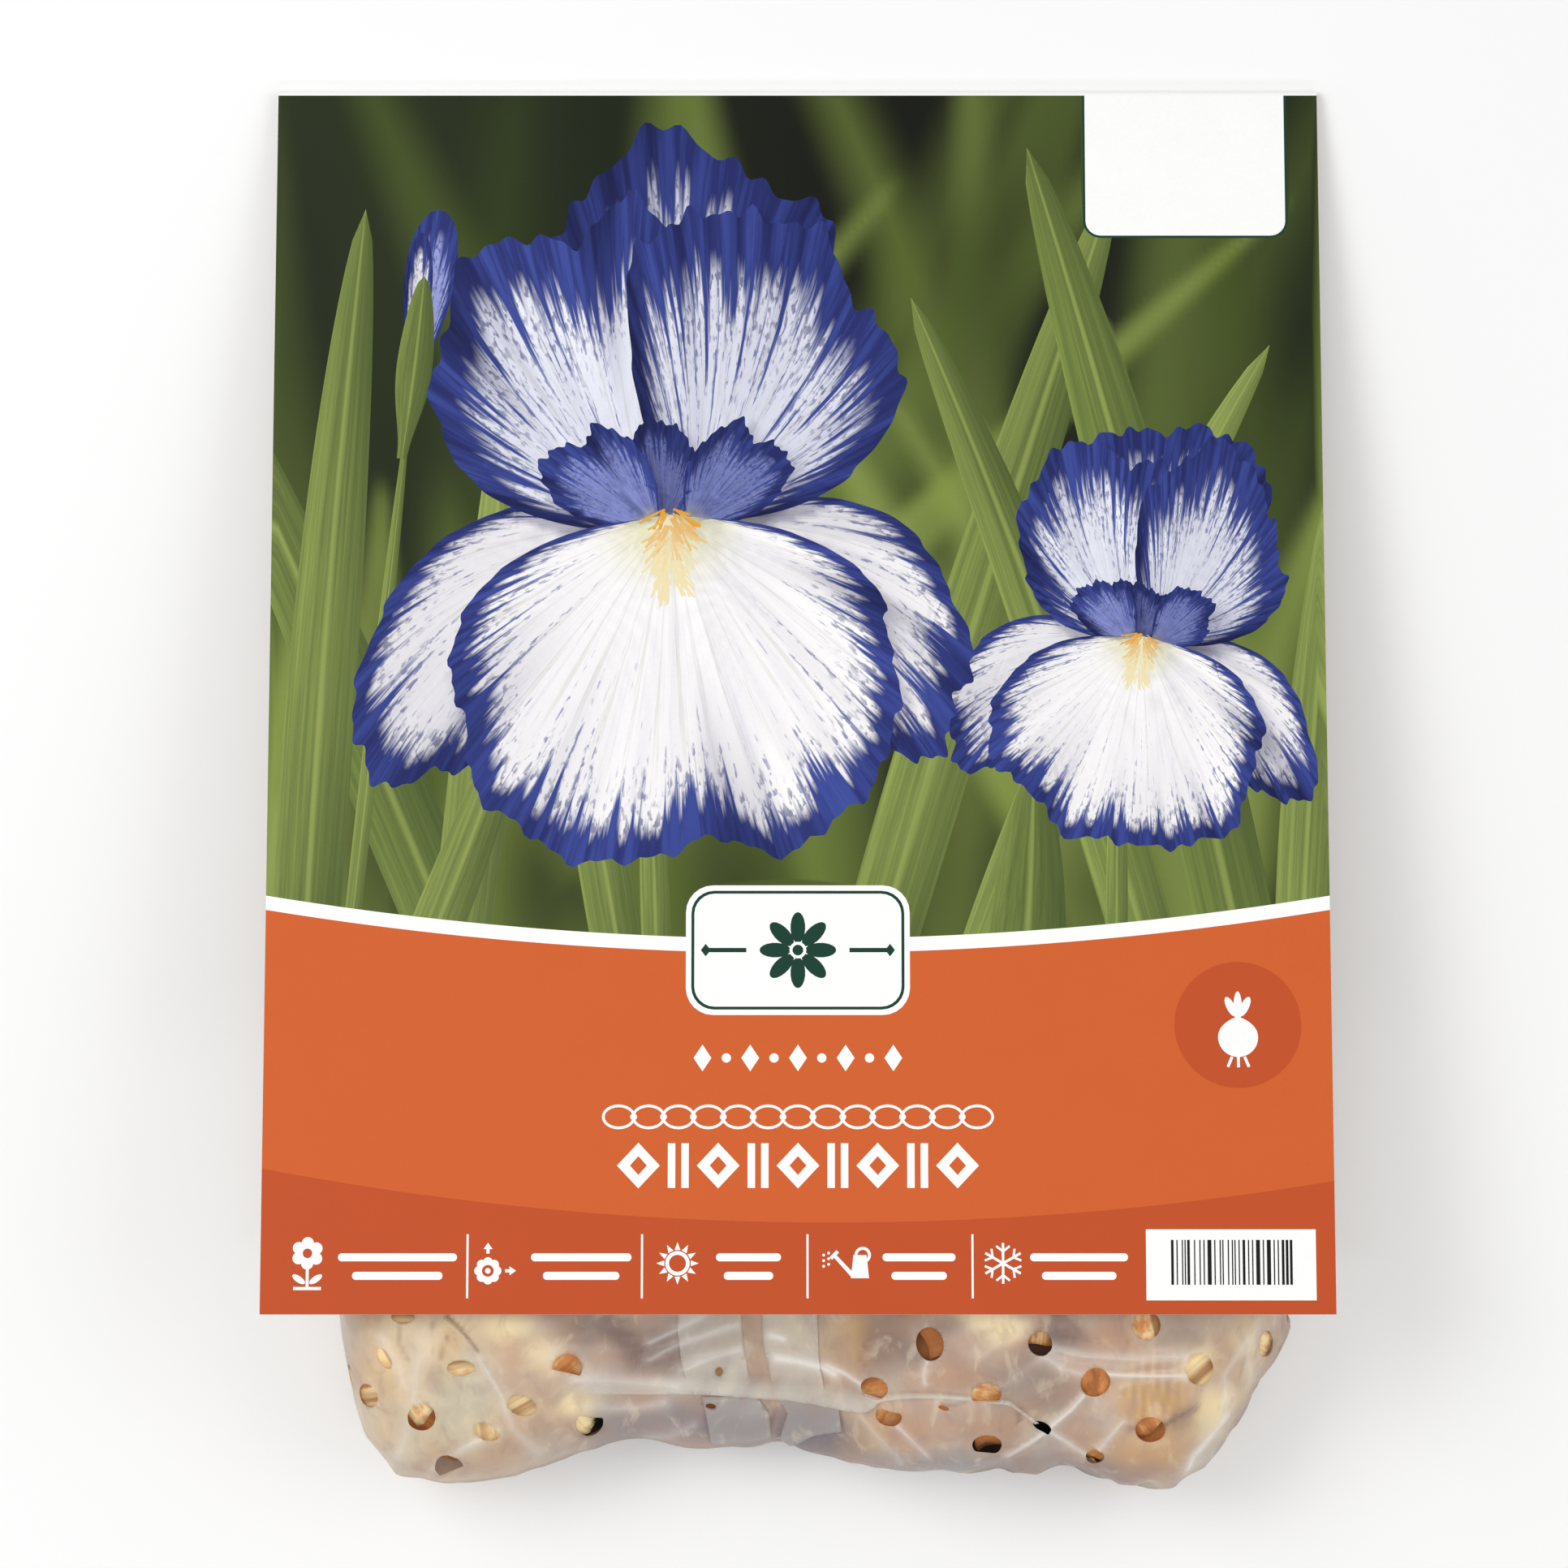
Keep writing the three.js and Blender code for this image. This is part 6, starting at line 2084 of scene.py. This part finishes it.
class IrisPackCard(bpy.types.PropertyGroup):
    spacing: number("Picture detail", "Spacing of the picture's points, in millimetres", 1.35, 0.6)
    margin_blue: colour_setting("Margin blue", "Light ink of the petals' stitched margin", PETAL_BLUE)
    margin_deep: colour_setting("Deep blue", "Dark ink of the petals' stitched margin", PETAL_DEEP)


class IrisPackFilm(bpy.types.PropertyGroup):
    spacing: number("Film detail", "Spacing of the film's points below the card, in millimetres", 0.85, 0.5)
    thickness: number("Thickness", "Thickness of the film, in millimetres", 0.12, 0.02)
    crease_depth: number("Crease depth", "Depth of the creases, as a share of their usual depth", 1.0, 0)
    haze: number("Haze", "Opacity of one face of the film", 0.65, 0.1, max=0.9, subtype="FACTOR")
    cast: number("Cast", "Share of its haze by which the film shades what it covers", 0.3, 0, max=1)
    colour: colour_setting("Light film", "Colour of the film over pale shavings", srgb(240, 224, 198))
    # The dark film colour is painted shade, as over hollows under the film.
    shade: colour_setting("Dark film", "Colour of the film over hollows", srgb(176, 150, 140))
    # The folded film colour is partly the folds' whiteness and partly their painted highlights.
    white: colour_setting("Folded film", "Colour of the film where a fold whitens it", srgb(246, 243, 238))


class IrisPackBed(bpy.types.PropertyGroup):
    crowd: number("Crowding", "Curls per square metre where the bed is seen", 60000.0, 0)
    smallest: number("Smallest", "Smallest scale of a curl", 0.6, 0.1)
    largest: number("Largest", "Largest scale of a curl", 1.15, 0.1)
    seed: IntProperty(name="Seed", description="Chooses where the curls lie", default=4)
    pale: colour_setting("Pale wood", "Palest shavings", srgb(250, 226, 172))
    golden: colour_setting("Golden wood", "Darkest shavings", srgb(212, 138, 76))
    dark: colour_setting("Growth lines", "Late wood in the shavings", srgb(150, 88, 42))


class IrisPackPlant(bpy.types.PropertyGroup):
    root_radius: number("Root radius", "Radius of a root at its start, in millimetres", 1.4, 0.3)
    skin: colour_setting("Skin", "Skin of the rhizome", srgb(150, 108, 70))
    leaf: colour_setting("Leaf", "Colour of the cut-back leaves", srgb(142, 152, 88))


class IrisPackStage(bpy.types.PropertyGroup):
    key: number("Key light", "Power of the main soft light", 6.2, 0, subtype="POWER", unit="POWER")
    sky: number("Sky", "Strength of the even light from all round", 0.52, 0)
    floor: colour_setting("Floor", "Colour of the floor", (0.93, 0.93, 0.93))


SETTINGS = {
    "iris_card": IrisPackCard, "iris_film": IrisPackFilm, "iris_bed": IrisPackBed,
    "iris_plant": IrisPackPlant, "iris_stage": IrisPackStage,
}

# ---- operators


class IRISPACK_OT_card(bpy.types.Operator):
    """Makes the printed header card"""

    bl_idname = "irispack.card"
    bl_label = "Header Card"

    def execute(self, context):
        settings = context.scene.iris_card
        petals = petal_ink(settings.margin_blue[:3], settings.margin_deep[:3])
        inks = [flat_ink(), foliage_ink(), petals, blade_ink(), raw_board()]
        seat(make_card(settings, inks), "header_card")
        return {"FINISHED"}


class IRISPACK_OT_film(bpy.types.Operator):
    """Makes the creased film bag with its vents"""

    bl_idname = "irispack.film"
    bl_label = "Film Bag"

    def execute(self, context):
        settings = context.scene.iris_film
        seat(make_film(settings, milky_film(settings)), "film_bag")
        return {"FINISHED"}


class IRISPACK_OT_shavings(bpy.types.Operator):
    """Strews the wood shavings that fill the bag"""

    bl_idname = "irispack.shavings"
    bl_label = "Wood Shavings"

    def execute(self, context):
        settings = context.scene.iris_bed
        seat(make_shavings(settings, pale_wood(settings)), "shavings")
        return {"FINISHED"}


class IRISPACK_OT_rhizome(bpy.types.Operator):
    """Makes the rhizome with its roots"""

    bl_idname = "irispack.rhizome"
    bl_label = "Rhizome"

    def execute(self, context):
        settings = context.scene.iris_plant
        seat(make_rhizome(settings, rhizome_skin(settings)), "rhizome")
        return {"FINISHED"}


class IRISPACK_OT_leaves(bpy.types.Operator):
    """Makes the fan of cut-back leaves"""

    bl_idname = "irispack.leaves"
    bl_label = "Leaf Fan"

    def execute(self, context):
        settings = context.scene.iris_plant
        seat(make_leaf_fan(dry_leaf(settings)), "leaf_fan")
        return {"FINISHED"}


class IRISPACK_OT_glue(bpy.types.Operator):
    """Gives the glue strips their finish"""

    bl_idname = "irispack.glue"
    bl_label = "Glue Strips"

    def execute(self, context):
        finish = set_glue()
        for name in ("glue_front", "glue_back"):
            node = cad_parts[name]
            if not node.material_slots:
                raise RuntimeError(f"{name} has no place for a material")
            for place in node.material_slots:
                place.material = finish
        return {"FINISHED"}


class IRISPACK_OT_stage(bpy.types.Operator):
    """Lays the floor, hangs the soft lights and sets up the camera"""

    bl_idname = "irispack.stage"
    bl_label = "Stage"

    def execute(self, context):
        settings, scene = context.scene.iris_stage, context.scene
        desk = Finish("Floor", Roughness=0.9, Specular_IOR_Level=0.1)
        cloud = desk.ramp(desk.noise(desk.place(), 3.0, 2.0), 0.3, 0.7, 0.0, 0.03)
        finish = desk.feed(Base_Color=desk.mix(cloud, rgba(settings.floor), (0.8, 0.8, 0.8, 1)))
        reach = 4000.0
        corners = [(-reach, -reach, 0), (reach, -reach, 0), (reach, reach, 0), (-reach, reach, 0)]
        new_piece("floor", corners, [(0, 1, 2, 3)], [finish])

        sky = bpy.data.worlds.new("Even sky")
        sky.use_nodes = True
        even = sky.node_tree.nodes["Background"].inputs
        even["Color"].default_value = (1, 1, 1, 1)
        even["Strength"].default_value = settings.sky
        scene.world = sky
        lights = (
            ("key", (-0.75, 0.35, 0.95), 0.8, 0.6, settings.key),
            ("fill", (0.9, 0.1, 0.8), 0.9, 0.7, settings.key * 0.45),
            ("front_strip", (0.1, -1.0, 0.75), 1.2, 0.18, settings.key * 0.4),
            ("overhead", (-0.1, -0.42, 1.5), 0.7, 0.12, settings.key * 0.3),
        )
        for name, place, width, height, power in lights:
            lamp = bpy.data.lights.new(name, "AREA")
            lamp.shape, lamp.size, lamp.size_y, lamp.energy = "RECTANGLE", width, height, power
            light = in_scene(name, lamp)
            light.location = place
            light.rotation_euler = (-Vector(place)).to_track_quat("-Z", "Y").to_euler()

        eye = bpy.data.cameras.new("camera")
        eye.sensor_width, eye.lens = 36.0, 128.9
        eye.clip_start, eye.clip_end = 0.05, 20.0
        scene.camera = in_scene("camera", eye)
        scene.camera.location = (-0.0028, 0.0005, 1.165)
        scene.view_settings.view_transform = "Standard"
        return {"FINISHED"}


class IRISPACK_PT_panel(bpy.types.Panel):
    """Lists the pieces of the pack"""

    bl_idname = "IRISPACK_PT_panel"
    bl_label = "Packed Iris Rhizome"
    bl_space_type = "VIEW_3D"
    bl_region_type = "UI"
    bl_category = "Iris Pack"

    def draw(self, context):
        for operator in OPERATORS:
            self.layout.operator(operator.bl_idname)
        for name in SETTINGS:
            group = getattr(context.scene, name)
            box = self.layout.box()
            for label in group.__annotations__:
                box.prop(group, label)


OPERATORS = (
    IRISPACK_OT_card, IRISPACK_OT_film, IRISPACK_OT_shavings, IRISPACK_OT_rhizome, IRISPACK_OT_leaves,
    IRISPACK_OT_glue, IRISPACK_OT_stage,
)


def register():
    for group in SETTINGS.values():
        bpy.utils.register_class(group)
    for name, group in SETTINGS.items():
        setattr(bpy.types.Scene, name, PointerProperty(type=group))
    for operator in (*OPERATORS, IRISPACK_PT_panel):
        bpy.utils.register_class(operator)


def unregister():
    for operator in (*OPERATORS, IRISPACK_PT_panel):
        bpy.utils.unregister_class(operator)
    for name, group in SETTINGS.items():
        delattr(bpy.types.Scene, name)
        bpy.utils.unregister_class(group)


def main():
    register()
    bpy.ops.irispack.stage()
    bpy.ops.irispack.card()
    bpy.ops.irispack.film()
    bpy.ops.irispack.shavings()
    bpy.ops.irispack.rhizome()
    bpy.ops.irispack.leaves()
    bpy.ops.irispack.glue()


if __name__ == "__main__":
    main()
